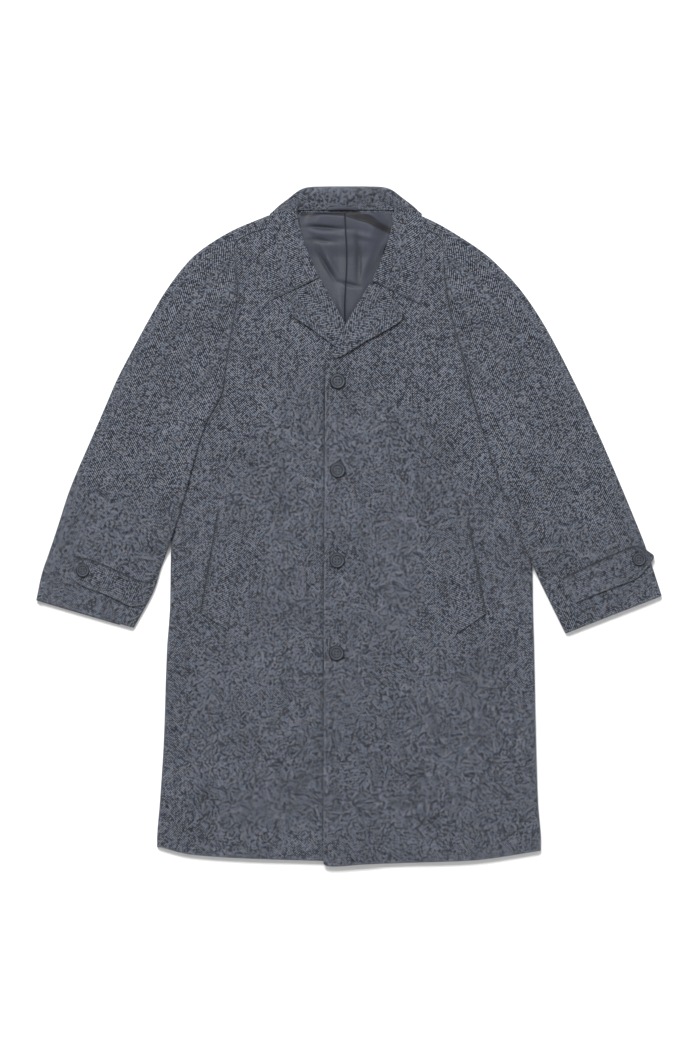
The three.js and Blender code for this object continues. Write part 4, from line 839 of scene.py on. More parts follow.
def front_sleeve(hand):
    rows = []
    for station in sleeve_stations(hand, TOP_SEAM_START):
        top, rest = turning_path(station) if station.turn <= 90 else folded_path(station)
        flat, turned = lengths(top)[-1], lengths(rest)[-1]
        edge = EDGE_STEPS * min(1.0, flat / EDGE_ROOM)
        tail = EDGE_STEPS * min(1.0, turned / EDGE_ROOM)
        top_stops = np.concatenate([edge, np.linspace(edge[-1], flat, 40)[1:]])
        rest_stops = np.concatenate([np.linspace(0, turned - tail[-1], 20)[1:-1], turned - tail[::-1]])
        mid = np.concatenate([resample(top, top_stops), resample(rest, rest_stops)])
        stops = np.concatenate([top_stops, flat + rest_stops])
        thick = CLOTH * rounded(stops, SEWN_EDGE) * rounded(flat + turned - stops, ARMHOLE_EDGE)
        thick = thick * rounded(station.edge)
        last = None
        if station.turn < 1:
            last = (1, 0)
        if station.t > UNDERARM + TUCKED_ROWS:
            last = (-1, 0)
        a, b = section_faces(mid, thick, first=(1, 0), last=last)
        cut = np.stack([stops + station.wrap, np.full(len(stops), station.down)], axis=1)
        # Painted shade along the armhole seam, fading out where the inner edge turns under
        sewn_in = 1 - smooth((station.turn - SEWN_TURN) / SEWN_TURN)
        sewn_in = sewn_in * smooth((station.t - SHADE_START) / SHADE_START_ROWS)
        painted_shade = ARMHOLE_SHADE * sewn_in * seam_shade(flat + turned - stops)
        rows.append((in_space(station, a), in_space(station, b), cut, painted_shade))
    return stacked(rows)


# Body

def armhole_curve(hand):
    """Height and distance out of the front's edge: the armhole seam, then down to the underarm."""
    rows = SLEEVES[hand]
    t = np.linspace(0, SEAM_END, 200)
    y, x = spline(rows["in_y"], t), spline(rows["in_x"], t)
    point = UNDERARM_POINT[hand]
    y = np.concatenate([y, [y[-1] - ARMHOLE_TURN[1], point[1]]])
    x = np.concatenate([x, [x[-1] + ARMHOLE_TURN[0], point[0] - UNDERARM_IN]])
    return y[::-1], x[::-1]


def side_fold_mid(level, d, rolled, upper):
    """Height of the middle line in the side fold, d being the distance in from the fold."""
    u = np.clip((FOLD_WIDTH - d) / (FOLD_WIDTH - HALF_WALL), 0, 1)
    seam = FOLD_MID + (SEAM / 2 if upper else -SEAM / 2)
    return mix(level, seam + (level - seam) * np.sqrt(1 - u * u), rolled)


def fold_stops(rolled):
    turn = np.radians(np.linspace(90, 0, 12))
    return FOLD_WIDTH - (FOLD_WIDTH - HALF_WALL * rolled) * np.sin(turn)


def body_rows(top, underarm, step):
    """Heights of a panel's rows from the neck to the hem's level, then shares of the way to the hem."""
    down = spaced(top - EDGE_STEPS[-1], underarm, step)
    rows = [(y, 0.0) for y in np.concatenate([top - EDGE_STEPS[:-1], down])]
    rows += [(y, 0.0) for y in spaced(underarm, HEM_LEVEL, step)[1:]]
    return rows + [(HEM_LEVEL, share) for share in HEM_SHARES]


def down_to_hem(hem, x, y, share):
    """Heights of a row that nears the hem's line, and how far its points are from the hem."""
    end = curve(hem["x"], hem["y"], x)
    from_hem = (1 - share) * (y - end) if share else np.full(len(x), NO_EDGE_NEAR)
    return mix(y, end, share), from_hem


def body_face(side, face, row_y):
    """A section's face as a row of the panel, side being -1 where its distances run to the right."""
    return np.column_stack([side * face[:, 0], row_y, face[:, 1]])


def front_inner(hand, y):
    edge = curve(NECK_EDGE[hand]["y"], NECK_EDGE[hand]["x"], y) * hand
    return edge + DRAW_BACK * smooth((y - ROLL_END[hand]) / ROLL_START) * smooth((ROLL_TOP - y) / ROLL_FADE)


def front_panel(hand):
    """A front from its inner edge to the armhole seam or the side fold, rows from the neck to the hem."""
    seam_y, seam_x = armhole_curve(hand)
    underarm = UNDERARM_POINT[hand][1]
    hem = HEMS[hand]
    top_edge = SLEEVES[hand]["in_y"][0]
    rows = []
    for y, share in body_rows(top_edge, underarm, FINE):
        rolled = float(smooth((underarm - y) / SIDE_TURN))
        hidden = float(smooth((y - SEAM_SHOWS) / SEAM_FADE))
        above = y >= underarm
        outer = float(np.interp(y, seam_y, seam_x)) - SEAM if above else float(body_side(hand, y))
        inner = float(front_inner(hand, y))
        squeeze = min(1.0, (outer - inner) / PANEL_WIDTH)
        near = inner + np.concatenate([EDGE_STEPS, FRONT_EDGE_STOPS]) * squeeze
        fold = outer - fold_stops(rolled) * squeeze
        flat = np.linspace(fold[-1], near[-1], 58)[1:-1]
        m = np.concatenate([fold, flat, near[::-1]])
        level = panel_mid(hand, hand * m, y)
        d = (outer - m) / squeeze
        z = np.where(d < FOLD_WIDTH, side_fold_mid(level, d, rolled, True), level)
        z = z - EDGE_DENT * np.exp(-((m - inner - EDGE_STITCH) / DENT_WIDTH) ** 2)
        row_y, from_hem = down_to_hem(hem, hand * m, y, share)
        side_edge = mix(mix(ARMHOLE_EDGE, SEWN_EDGE, hidden), HALF_WALL, rolled)
        thick = CLOTH * rounded(m - inner) * rounded(outer - m, side_edge)
        thick = thick * rounded(from_hem) * rounded(top_edge - y)
        first = None
        if rolled == 0:
            first = (-1, 0)
        if rolled > 0.9:
            first = (0, 1)
        a, b = section_faces(np.stack([m, z], axis=1), thick, first=first)
        # Painted shade along the armhole seam, fading out at the side fold and near the neck
        shade = ARMHOLE_SHADE * (1 - rolled) * (1 - hidden) * seam_shade(outer - m)
        # On the right front, a painted shadow along the left front's edge
        if hand == RIGHT and y < ROLL_END[LEFT]:
            from_edge = hand * m - float(front_inner(LEFT, y))
            shade = np.maximum(shade, EDGE_SHADE * smooth((from_edge + EDGE_SHADE_REACH) / EDGE_SHADE_REACH))
        cut = np.column_stack([hand * m, row_y])
        rows.append((body_face(hand, a, row_y), body_face(hand, b, row_y), cut, shade))
    return stacked(rows)


def back_half(hand, y):
    point = UNDERARM_POINT[hand]
    if y > point[1]:
        return mix(point[0], RAGLAN_NECK[0], (y - point[1]) / (RAGLAN_NECK[1] - point[1])) - SEAM
    return float(body_side(hand, y)) - SEAM * float(smooth((y - BACK_SEAM_END) / BACK_SEAM_FADE))


def back_panel():
    """The back between its raglan seams and side folds, rows from the neck to the hem."""
    hem = HEMS["back"]
    underarm = UNDERARM_POINT[RIGHT][1]
    rows = []
    for y, share in body_rows(BACK_TOP, underarm, COARSE):
        rolled = float(smooth((underarm - y) / SIDE_TURN))
        right, left = back_half(RIGHT, y), back_half(LEFT, y)
        stops = fold_stops(rolled)
        x = np.concatenate([
            -right + stops,
            np.linspace(-right + FOLD_WIDTH, left - FOLD_WIDTH, 60)[1:-1],
            (left - stops)[::-1],
        ])
        level = FLOOR_MID + leaf_lift(x, y)
        d = np.where(x < 0, x + right, left - x)
        z = np.where(d < FOLD_WIDTH, side_fold_mid(level, d, rolled, False), level)
        row_y, from_hem = down_to_hem(hem, x, y, share)
        thick = CLOTH * rounded(d) * rounded(from_hem) * rounded(BACK_TOP - y)
        ends = ((0, -1), (0, 1)) if rolled > 0.9 else (None, None)
        a, b = section_faces(np.stack([x, z], axis=1), thick, *ends)
        rows.append((body_face(1, a, row_y), body_face(1, b, row_y), np.column_stack([x, row_y])))
    return stacked(rows)


# Lapels and collar

def lapel_line(hand, t):
    """A lapel's section from the roll line, where it curls up off the front's edge, outwards."""
    rows = LAPELS[hand]
    roll = np.array([spline(rows["roll_x"], t), spline(rows["roll_y"], t)])
    edge = np.array([spline(rows["edge_x"], t), spline(rows["edge_y"], t)])
    width = float(np.linalg.norm(edge - roll))
    way = (edge - roll) / width
    loft = LAPEL_LOFT * float(np.clip(spline(rows["loft"], t), 0, 1))
    radius = (LAYER + loft) / 2
    centre = HALF_WALL + radius
    notch = NOTCH_RISE * (1 - float(smooth(t / NOTCH_ROWS)))
    turn = np.radians(np.linspace(-90, 90, 17))
    flat = np.concatenate([
        np.linspace(centre, width - EDGE_STEPS[-1], 34)[1:-1],
        width - EDGE_STEPS[::-1],
    ])
    q = np.concatenate([centre - radius * np.cos(turn), flat])
    before, after = q / (NOTCH_ALONG * width), (width - q) / ((1 - NOTCH_ALONG) * width)
    bulge = notch * np.maximum(np.minimum(before, after), 0)
    x = roll[0] + way[0] * q + hand * NOTCH_WAY[0] * bulge
    y = roll[1] + way[1] * q + NOTCH_WAY[1] * bulge
    level = panel_mid(hand, x, y)
    rolled = len(turn)
    risen = EDGE_LIFT * smooth(loft / LAPEL_LOFT)
    z = np.concatenate([
        level[rolled - 1] + radius + radius * np.sin(turn),
        level[rolled:] + LAYER + LIE + loft * (1 - smooth((flat - centre) / SETTLE))
        + risen * smooth((flat - width + EDGE_LIFT_START) / EDGE_LIFT_WIDTH),
    ])
    return np.stack([x, y, z], axis=1)


def lapel(hand):
    """Turned-back top of a front, from the gorge down to where the roll line meets the edge."""
    last = len(LAPELS[hand]["loft"]) - 1
    near = LAPEL_EDGE_ROWS[-1]
    inner = np.linspace(near, last - near, 60)[1:-1]
    t = np.concatenate([LAPEL_EDGE_ROWS, inner, last - LAPEL_EDGE_ROWS[::-1]])
    grid = np.array([lapel_line(hand, at) for at in t])
    over, under = grid_faces(grid, CLOTH * rounded(border_distance(grid)))
    return over, under, cut_map(grid)


def collar_place(hand, x, y):
    low = SHOULDER_Y - (SHOULDER_Y - y) * LEFT_DROP if hand == LEFT and y < SHOULDER_Y else y
    return np.array([COLLAR_MIDDLE + hand * x, low])


def collar_rows(rows, steps):
    """Stations from the right gorge round the back of the neck to the left gorge."""
    last = len(next(iter(rows.values()))) - 1
    t = np.linspace(0, last, last * steps + 1)
    half = [SimpleNamespace(**{key: float(spline(rows[key], at)) for key in rows}) for at in t]
    full = []
    for hand, part in ((RIGHT, half), (LEFT, half[::-1])):
        full += [SimpleNamespace(**{**vars(row), "hand": hand}) for row in part]
    return full


def leaf_line(row):
    """A line of the leaf: up round the roll line, outwards, and round the fold where it has one."""
    hand = row.hand
    roll = collar_place(hand, row.roll_x, row.roll_y)
    fold = collar_place(hand, row.fold_x, row.fold_y)
    edge = collar_place(hand, row.edge_x, row.edge_y)
    reach = float(np.linalg.norm(fold - roll))
    way = (fold - roll) / reach
    behind = float(smooth((row.roll_y - BEHIND_Y) / BEHIND_RISE))
    curl = math.radians(min(max(row.curl, LEAF_LEAST_CURL), 180))
    start = HALF_WALL + ROLL_RADIUS
    folded = min(max(row.folded, 0.0), 1.0)

    def level(points):
        x, y = points[:, 0], points[:, 1]
        q = np.hypot(x - roll[0], y - roll[1])
        rest = panel_mid(hand, x, y) + LAYER
        top = mix(LEAF_TOP_Z, rest, smooth((SHOULDER_Y + SHOULDER_LEAD - y) / SHOULDER_RISE))
        return mix(top + LAPEL_LOFT * (1 - smooth(q / SETTLE)), LEAF_BEHIND_Z, behind)

    begin = roll + way * start
    base = float(level(begin[None])[0])
    angle = np.linspace(curl, 0, 17)[:-1]
    q = start - ROLL_RADIUS * np.sin(angle) - (1 - curl / math.pi) * (start - ROLL_INSET)
    curled_z = base - ROLL_RADIUS * (1 - np.cos(angle))
    curled = np.column_stack([roll[0] + way[0] * q, roll[1] + way[1] * q, curled_z])

    def stretch(a, b, count):
        f = np.linspace(0, 1, count)[:, None]
        flat = a + (b - a) * f
        return np.column_stack([flat, level(flat)])

    if folded <= LEAST_FOLDED:
        path = np.concatenate([curled, stretch(begin, edge, 60)])
    else:
        outward = np.array([-hand * math.cos(math.radians(row.out)), math.sin(math.radians(row.out))])
        half = (float(level(fold[None])[0]) - FLOOR_MID) / 2
        turn = min(half, FOLD_REACH)
        pivot = fold - outward * (turn + HALF_WALL)
        angle = np.radians(np.linspace(0, 180 * folded, 20))
        r = turn * np.sin(angle)
        bend = np.column_stack([pivot[0] + outward[0] * r, pivot[1] + outward[1] * r,
                                FLOOR_MID + half + half * np.cos(angle)])
        end = edge if folded >= 1 else mix(pivot, edge, folded)
        f = np.linspace(0, 1, 12)[1:, None]
        last = np.array([*end, mix(bend[-1, 2] - LEAF_END_DROP, FLOOR_MID, folded)])
        path = np.concatenate([curled, stretch(begin, pivot, 30), bend[1:], bend[-1] + (last - bend[-1]) * f])
    steps = lengths(path)
    stops = np.concatenate([np.linspace(0, steps[-1] - EDGE_STEPS[-1], 70), steps[-1] - EDGE_STEPS[::-1][1:]])
    return resample(path, stops)


def collar_leaf():
    grid = np.array([leaf_line(row) for row in collar_rows(LEAF, 8)])
    over, under = grid_faces(grid, CLOTH * rounded(border_distance(grid, "first")))
    return over, under, cut_map(grid)


def collar_stand():
    """Stand from gorge to gorge round the neck, from the neck seam up to the roll."""
    lines = []
    for row in collar_rows(STAND, 6):
        neck = collar_place(row.hand, row.neck_x, row.neck_y)
        top = collar_place(row.hand, row.top_x, row.top_y)
        f = np.concatenate([[0, 0.02, 0.05], np.linspace(0.1, 0.9, 12), [0.95, 0.98, 1]])
        flat = neck + (top - neck) * f[:, None]
        z = mix(row.neck_z, row.top_z, smooth(STAND_RISE * f))
        z = z - STAND_DIP * smooth((f - STAND_DIP_FROM) / (1 - STAND_DIP_FROM))
        lines.append(np.column_stack([flat, z]))
    grid = np.array(lines)
    over, under = grid_faces(grid, CLOTH * rounded(border_distance(grid)))
    return over, under, cut_map(grid)


# Lining

def lining_relief(x, y):
    """Height of the lining's folds, and the painted shade at each place: in the seam's groove, along a band
    right of the seam, in the cavity behind the crest and in the folds' dents.
    """
    seam = COLLAR_MIDDLE + 1.6 * np.sin((y - 930) / 26)
    off = x - seam
    pleat = PLEAT_RISE * smooth((off + 15) / 14) * (1 - smooth((off + 1.2) / 1.8))
    crest_y = curve(NECK_CREST["x"], NECK_CREST["y"], x)
    up = y - crest_y
    crest = CREST_RISE * smooth((up + 30) / 28) * (1 - smooth(up / 3.0))
    to_left = smooth((x - 14) / 12)
    patch = PATCH_RISE * smooth((up - PATCH_START) / 5) * to_left
    valleys = ridges(LINING_FOLDS, x, y)
    height = np.maximum(FOLD_STRENGTH * valleys + pleat + crest + patch, LOWEST_FOLD)
    groove_painted_shade = np.exp(-(off / 1.5) ** 2) * GROOVE_SHADE
    band_painted_shade = BAND_SHADE * np.exp(-((x - 15 - 3 * np.sin(y / 15)) / 5) ** 2)
    band_painted_shade = band_painted_shade * smooth((y - 925) / 20) * smooth((1020 - y) / 14)
    # Painted shade in the cavity behind the crest, but not on the raised neck patch
    behind = smooth(up / 3.5) * (1 - smooth((up - PATCH_START + 2) / 6) * to_left)
    dent_painted_shade = smooth((-valleys - 0.1) / 1.8) * DENT_SHADE
    painted_shade = np.clip(np.maximum.reduce([groove_painted_shade, band_painted_shade, behind, dent_painted_shade]), 0, 1)
    return height, painted_shade


def back_lining():
    """Lining of the back's neck part, which lies on the back with its folds raised in the middle."""
    y = spaced(*LINING_ENDS, 1.5)
    f = np.linspace(-1, 1, 150)
    half = curve(LINING_SIDES["y"], LINING_SIDES["half"], y)
    x = COLLAR_MIDDLE + half[:, None] * f
    y = np.broadcast_to(y[:, None], x.shape)
    inside = half[:, None] - LINING_HEM - np.abs(x - COLLAR_MIDDLE)
    opened = smooth(inside / 26) * smooth((y - 850) / 40) * smooth((1048 - y) / 6)
    relief, painted_shade = lining_relief(x, y)
    low = CLOTH + SEAM + LIE + leaf_lift(x, y) + (relief + LINING_LOFT) * opened
    under = np.stack([x, y, low], axis=2)
    over = under + (0, 0, LINING)
    return over, under, np.stack([x, y], axis=2), painted_shade


def hanger_loop(stand_top):
    """Narrow strip that stands off the collar stand in a low arch."""
    f = np.linspace(0, 1, 60)
    arch = np.sin(np.pi * f)
    x, y = mix(*LOOP_ENDS, f), LOOP_Y + LOOP_BOW * arch
    seat = np.array([stand_top(px, py) for px, py in zip(x, y)]) + SEAM
    z = seat + LOOP_RISE * arch ** 0.8
    strip_x = np.broadcast_to(x[:, None], (len(f), len(LOOP_ACROSS)))
    under = np.dstack([strip_x, y[:, None] + LOOP_ACROSS, z[:, None] + LOOP_TILT * LOOP_ACROSS])
    thick = LOOP_THICK * rounded(LOOP_ACROSS[-1] - np.abs(LOOP_ACROSS), LOOP_EDGE)
    return under + thick[:, None] * np.array([0, 0, 1]), under, cut_map(under)


# Trims laid on the cloth

def cloth_under(walls):
    """Gives the height of the highest cloth at a place."""
    points, faces, count = [], [], 0
    for grid in walls:
        rows, cols = grid.shape[:2]
        index = np.arange(rows * cols).reshape(rows, cols) + count
        quads = np.stack([index[:-1, :-1], index[:-1, 1:], index[1:, 1:], index[1:, :-1]], axis=2)
        points.append(grid.reshape(-1, 3))
        faces.append(quads.reshape(-1, 4))
        count += rows * cols
    tree = BVHTree.FromPolygons(np.concatenate(points).tolist(), np.concatenate(faces).tolist())

    def height(x, y):
        hit = tree.ray_cast(Vector((float(x), float(y), 80.0)), Vector((0, 0, -1)))[0]
        return hit.z if hit else float("nan")

    return height


def settle(heights, passes):
    """Softens a grid of heights, as stiff cloth bridges the steps that it lies over."""
    for _ in range(passes):
        padded = np.pad(heights, 1, mode="edge")
        near = (padded[:-2, 1:-1] + padded[2:, 1:-1] + padded[1:-1, :-2] + padded[1:-1, 2:]) / 4
        heights = np.maximum((heights + near) / 2, heights - SINK_STEP)
    return heights


def lay_on(grid, height, thick, open_side):
    """Both faces of a stiff strip that lies on the cloth, pressed in along its line of stitching, with
    painted shade along its open side.
    """
    rest = np.array([[height(x, y) for x, y in row] for row in grid])
    known = np.nanmin(rest)
    for row in rest:
        ok = ~np.isnan(row)
        if ok.any():
            row[~ok] = np.interp(np.flatnonzero(~ok), np.flatnonzero(ok), row[ok])
        else:
            row[:] = known
    rest = settle(rest, SOFTENING)
    flat = np.dstack([grid, rest])
    edge = border_distance(flat)
    wall_thick = thick * rounded(edge, thick / 2)
    dent = STRIP_DENT * np.exp(-(edge - STITCH_IN) ** 2)
    middle = rest + SEAM + STRIP_LIE + thick / 2 - dent
    over = np.dstack([grid, middle + wall_thick / 2])
    under = np.dstack([grid, middle - wall_thick / 2])
    # Painted shade along the strip's open side
    axis = 1 if open_side == "outer" else 0
    steps = np.cumsum(np.linalg.norm(np.diff(flat, axis=axis), axis=2), axis=axis)
    from_open = np.insert(steps, 0, 0.0, axis=axis)
    return over, under, cut_map(flat), OPEN_SHADE * np.exp(-(from_open / OPEN_REACH) ** 2)


def stops_between(length, step):
    """Shares of a strip's length for its points, closer together at its edges and lines of stitching."""
    edge = np.concatenate([EDGE_STEPS, STITCH_STOPS])
    inner = spaced(edge[-1], length - edge[-1], step)[1:-1]
    return np.concatenate([edge, inner, length - edge[::-1]]) / length


def welt_grid(corners):
    """Places of a welt's points, between its four corners."""
    outer, inner, low_outer, low_inner = (np.array(corner, float) for corner in corners.values())
    across = stops_between(np.linalg.norm(outer - inner), WELT_STEP)[None, :, None]
    down = stops_between(np.linalg.norm(low_outer - outer), WELT_STEP)[:, None, None]
    return mix(mix(outer, inner, across), mix(low_outer, low_inner, across), down)


def tab_grid(tab, tip):
    """Places of a cuff tab's points between its two long edges, drawn out to a soft tip at one end."""
    top, bottom = np.array(tab["top"], float), np.array(tab["bottom"], float)
    along = stops_between(lengths(top)[-1], TAB_STEP) * (len(top) - 1)
    width = np.linalg.norm(top - bottom, axis=1).mean()
    across = stops_between(width, TAB_STEP)[:, None, None]
    high = np.stack([spline(top[:, k], along) for k in (0, 1)], axis=1)
    low = np.stack([spline(bottom[:, k], along) for k in (0, 1)], axis=1)
    grid = mix(high, low, across)
    at_tip = along if tip["row"] == 0 else len(top) - 1 - along
    reach = np.clip(1 - at_tip / TIP_ROWS, 0, 1) ** 2
    return grid + np.array(tip["way"]) * (4 * across * (1 - across)) * reach[None, :, None]


def capsules(spots, radius, sides=6):
    """Points and faces of short threads, each given by its two ends."""
    turn = np.linspace(0, 2 * np.pi, sides, endpoint=False)
    points, faces = [], []
    for a, b in spots:
        way = b - a
        way = way / max(np.linalg.norm(way), 1e-9)
        side = np.cross(way, (0, 0, 1)) if abs(way[2]) < 0.9 else np.cross(way, (1, 0, 0))
        side /= np.linalg.norm(side)
        up = np.cross(side, way)
        ring = np.cos(turn)[:, None] * side + np.sin(turn)[:, None] * up
        start = len(points) * sides
        points += [mix(a, b, share) + radius * size * ring for share, size in THREAD_SHAPE]
        end = len(points) * sides
        for k in range(len(THREAD_SHAPE) - 1):
            for i in range(sides):
                j = (i + 1) % sides
                low = start + k * sides
                faces.append((low + i, low + j, low + sides + j, low + sides + i))
        faces.append(tuple(range(start + sides - 1, start - 1, -1)))
        faces.append(tuple(range(end - sides, end)))
    return np.concatenate(points), faces


def stitch_spots(path, height):
    """Stitches along a line on the cloth, as pairs of ends."""
    reach = lengths(path)
    spots = []
    for start in np.arange(0, reach[-1] - STITCH, STITCH + STITCH_GAP):
        ends = resample(path, np.array([start, start + STITCH]))
        z = [height(x, y) for x, y in ends]
        if not np.isnan(z).any() and abs(z[0] - z[1]) < STEEPEST_STITCH:
            spots.append([np.array([*ends[k], z[k] - STITCH_SINK + THREAD]) for k in (0, 1)])
    return spots


def hole_spots(x, y, height, length):
    """Close stitches round a buttonhole, which runs along x from a place."""
    spots = []
    base = height(x + length / 2, y) + 0.1

    def bar(px, py, dx, dy):
        spots.append([np.array([px, py, base]), np.array([px + dx, py + dy, base - 0.05])])

    for along in np.arange(0, length, HOLE_PITCH):
        bar(x + along, y + HOLE_HALF, 0, HOLE_BAR)
        bar(x + along, y - HOLE_HALF, 0, -HOLE_BAR)
    for angle in np.radians(np.arange(-80, 81, 20)):
        c, s = math.cos(angle), math.sin(angle)
        bar(x + length + HOLE_HALF * c, y + HOLE_HALF * s, HOLE_BAR * c, HOLE_BAR * s)
    return spots


def thread_object(name, spots, material, radius):
    points, faces = capsules(spots, radius)
    obj = new_object(name, points, faces, points[:, :2])
    obj.data.materials.append(material)
    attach(obj, ROOT)


# Buttons

def button_mesh(name, x, y, radius, base):
    """Turned button with a rim, a dish and four holes, and a mask of painted shade round the dish's edge, on
    the rim's outer slope, in the holes and over its back.
    """
    around = np.linspace(0, 2 * np.pi, BUTTON_SIDES, endpoint=False)
    r = BUTTON_SHARES * radius
    px, py = r[:, None] * np.cos(around), r[:, None] * np.sin(around)
    z = curve(BUTTON_FRONT["share"] * radius, BUTTON_FRONT["z"], r)
    z = np.broadcast_to(z[:, None], px.shape).copy()
    share = np.broadcast_to(r[:, None] / radius, px.shape)
    # Painted shade round the dish's edge, on the rim's outer slope and in the holes
    dish_painted_shade = 0.85 * np.exp(-((share - DISH_EDGE) / 0.055) ** 2)
    painted_recess_shade = np.maximum(dish_painted_shade, 0.95 * smooth((share - RIM_SHADE_FROM) / 0.08))
    spread = HOLE_SPREAD * radius
    for hx, hy in ((-1, -1), (-1, 1), (1, -1), (1, 1)):
        away = np.hypot(px - hx * spread, py - hy * spread)
        drilled = smooth((HOLE - away) / 0.35 + 0.5)
        z -= HOLE_DEPTH * drilled
        painted_recess_shade = np.maximum(painted_recess_shade, drilled)
    low_r, low_z = BUTTON_BACK["share"][:, None] * radius, BUTTON_BACK["z"][:, None]
    behind = np.ones((len(low_r), BUTTON_SIDES))
    low = np.dstack([low_r * np.cos(around), low_r * np.sin(around), low_z * behind])
    rings = np.concatenate([np.dstack([px, py, z]), low])
    index = np.arange(rings[:, :, 0].size).reshape(rings.shape[:2])
    turned = np.roll(index, -1, axis=1)
    faces = np.stack([index[:-1], index[1:], turned[1:], turned[:-1]], axis=2).reshape(-1, 4).tolist()
    faces.append(index[0].tolist())
    faces.append(index[-1][::-1].tolist())
    points = rings.reshape(-1, 3) + (x, y, base)
    obj = new_object(name, points, faces, points[:, :2] - (x, y))
    add_mask(obj, "painted_shade", painted_recess_shade, behind)
    return obj


def button_thread(x, y, radius, base):
    """Three threads side by side over each of the two pairs of holes."""
    spread = HOLE_SPREAD * radius
    z = base + CORD_Z
    spots = []
    for k in (-CORD_STEP, 0.0, CORD_STEP):
        for row in (-1, 1):
            cord_y = y + row * spread + k
            spots.append([np.array([x - spread, cord_y, z]), np.array([x + spread, cord_y, z])])
    return spots


# Materials

def new_group(name, inputs, outputs):
    """Empty shader node group: numbers in with their usual values, a vector where there is none."""
    group = bpy.data.node_groups.new(name, "ShaderNodeTree")
    for label, value in inputs:
        kind = "NodeSocketVector" if value is None else "NodeSocketFloat"
        socket = group.interface.new_socket(label, in_out="INPUT", socket_type=kind)
        if value is not None:
            socket.default_value = value
    for label in outputs:
        group.interface.new_socket(label, in_out="OUTPUT", socket_type="NodeSocketFloat")
    start = group.nodes.new("NodeGroupInput")
    end = group.nodes.new("NodeGroupOutput")
    return group, start, end


class Wires:
    """Short ways to place and join a tree's nodes."""

    def __init__(self, tree):
        self.tree = tree

    def join(self, source, socket):
        self.tree.links.new(source, socket)

    def feed(self, socket, value):
        """Joins a socket to another one, or sets it to a number or a colour."""
        if isinstance(value, bpy.types.NodeSocket):
            self.join(value, socket)
        elif isinstance(value, tuple):
            socket.default_value = (*value, 1.0)
        elif value is not None:
            socket.default_value = value

    def maths(self, operation, a, b=None, c=None):
        node = self.tree.nodes.new("ShaderNodeMath")
        node.operation = operation
        for socket, value in zip(node.inputs, (a, b, c)):
            self.feed(socket, value)
        return node.outputs[0]

    def noise(self, vector, scale, detail=2.0, rough=0.5):
        node = self.tree.nodes.new("ShaderNodeTexNoise")
        self.feed(node.inputs["Vector"], vector)
        self.feed(node.inputs["Scale"], scale)
        self.feed(node.inputs["Detail"], detail)
        self.feed(node.inputs["Roughness"], rough)
        return node.outputs["Fac"]

    def ramp(self, value, low, high, to_low=0.0, to_high=1.0):
        node = self.tree.nodes.new("ShaderNodeMapRange")
        self.feed(node.inputs["Value"], value)
        for label, number in (("From Min", low), ("From Max", high), ("To Min", to_low), ("To Max", to_high)):
            self.feed(node.inputs[label], number)
        return node.outputs["Result"]

    def blend(self, share, a, b):
        node = self.tree.nodes.new("ShaderNodeMix")
        node.data_type = "RGBA"
        self.feed(node.inputs["Factor"], share)
        colours = [socket for socket in node.inputs if socket.type == "RGBA"]
        self.feed(colours[0], a)
        self.feed(colours[1], b)
        return [socket for socket in node.outputs if socket.type == "RGBA"][0]

    def group(self, group, **values):
        node = self.tree.nodes.new("ShaderNodeGroup")
        node.node_tree = group
        for label, value in values.items():
            self.feed(node.inputs[label.replace("_", " ")], value)
        return node.outputs


def herringbone_group():
    """Twill lines that turn back at every column, with broken, speckled yarn."""
    group, start, end = new_group("Herringbone weave", [
        ("Vector", None), ("Column width", 0.02), ("Pitch", 0.0038), ("Float length", 0.0027),
        ("Breaks", 0.5)], ["Twill", "Speckle"])
    w = Wires(group)
    split = group.nodes.new("ShaderNodeSeparateXYZ")
    w.join(start.outputs["Vector"], split.inputs[0])
    across, down = split.outputs["X"], split.outputs["Y"]
    width, pitch = start.outputs["Column width"], start.outputs["Pitch"]
    drift = w.maths("MULTIPLY", w.maths("SUBTRACT", w.noise(start.outputs["Vector"], 9.0, 1.0), 0.5), 0.006)
    across = w.maths("ADD", across, drift)
    slant = w.maths("PINGPONG", across, width)
    number = w.maths("FLOOR", w.maths("DIVIDE", across, width))
    offset = w.maths("MULTIPLY", w.maths("PINGPONG", number, 1.0), 0.5)
    turns = w.maths("ADD", w.maths("DIVIDE", w.maths("ADD", down, slant), pitch), offset)
    wave = w.maths("MULTIPLY_ADD", w.maths("SINE", w.maths("MULTIPLY", turns, 6.2832)), 0.5, 0.5)
    line = w.maths("FLOOR", w.maths("ADD", turns, 0.25))
    along = w.maths("DIVIDE", w.maths("SUBTRACT", slant, down), start.outputs["Float length"])
    float_number = w.maths("FLOOR", w.maths("ADD", along, w.maths("MULTIPLY", line, 0.37)))
    cell = group.nodes.new("ShaderNodeCombineXYZ")
    for socket, value in zip(cell.inputs, (line, float_number, number)):
        w.join(value, socket)
    yarn = group.nodes.new("ShaderNodeTexWhiteNoise")
    yarn.noise_dimensions = "3D"
    w.join(cell.outputs[0], yarn.inputs["Vector"])
    speckle = w.noise(start.outputs["Vector"], 420.0, 2.0, 0.7)
    shade = w.maths("ADD", w.ramp(yarn.outputs["Value"], 0.0, 1.0, -0.5, 0.5),
                    w.maths("MULTIPLY", w.maths("SUBTRACT", speckle, 0.5), start.outputs["Breaks"]))
    lit = w.maths("ADD", shade, w.maths("MULTIPLY", w.maths("SUBTRACT", wave, 0.5), 0.9))
    w.join(w.ramp(lit, -0.24, 0.44), end.inputs["Twill"])
    w.join(w.ramp(speckle, 0.3, 0.7), end.inputs["Speckle"])
    return group


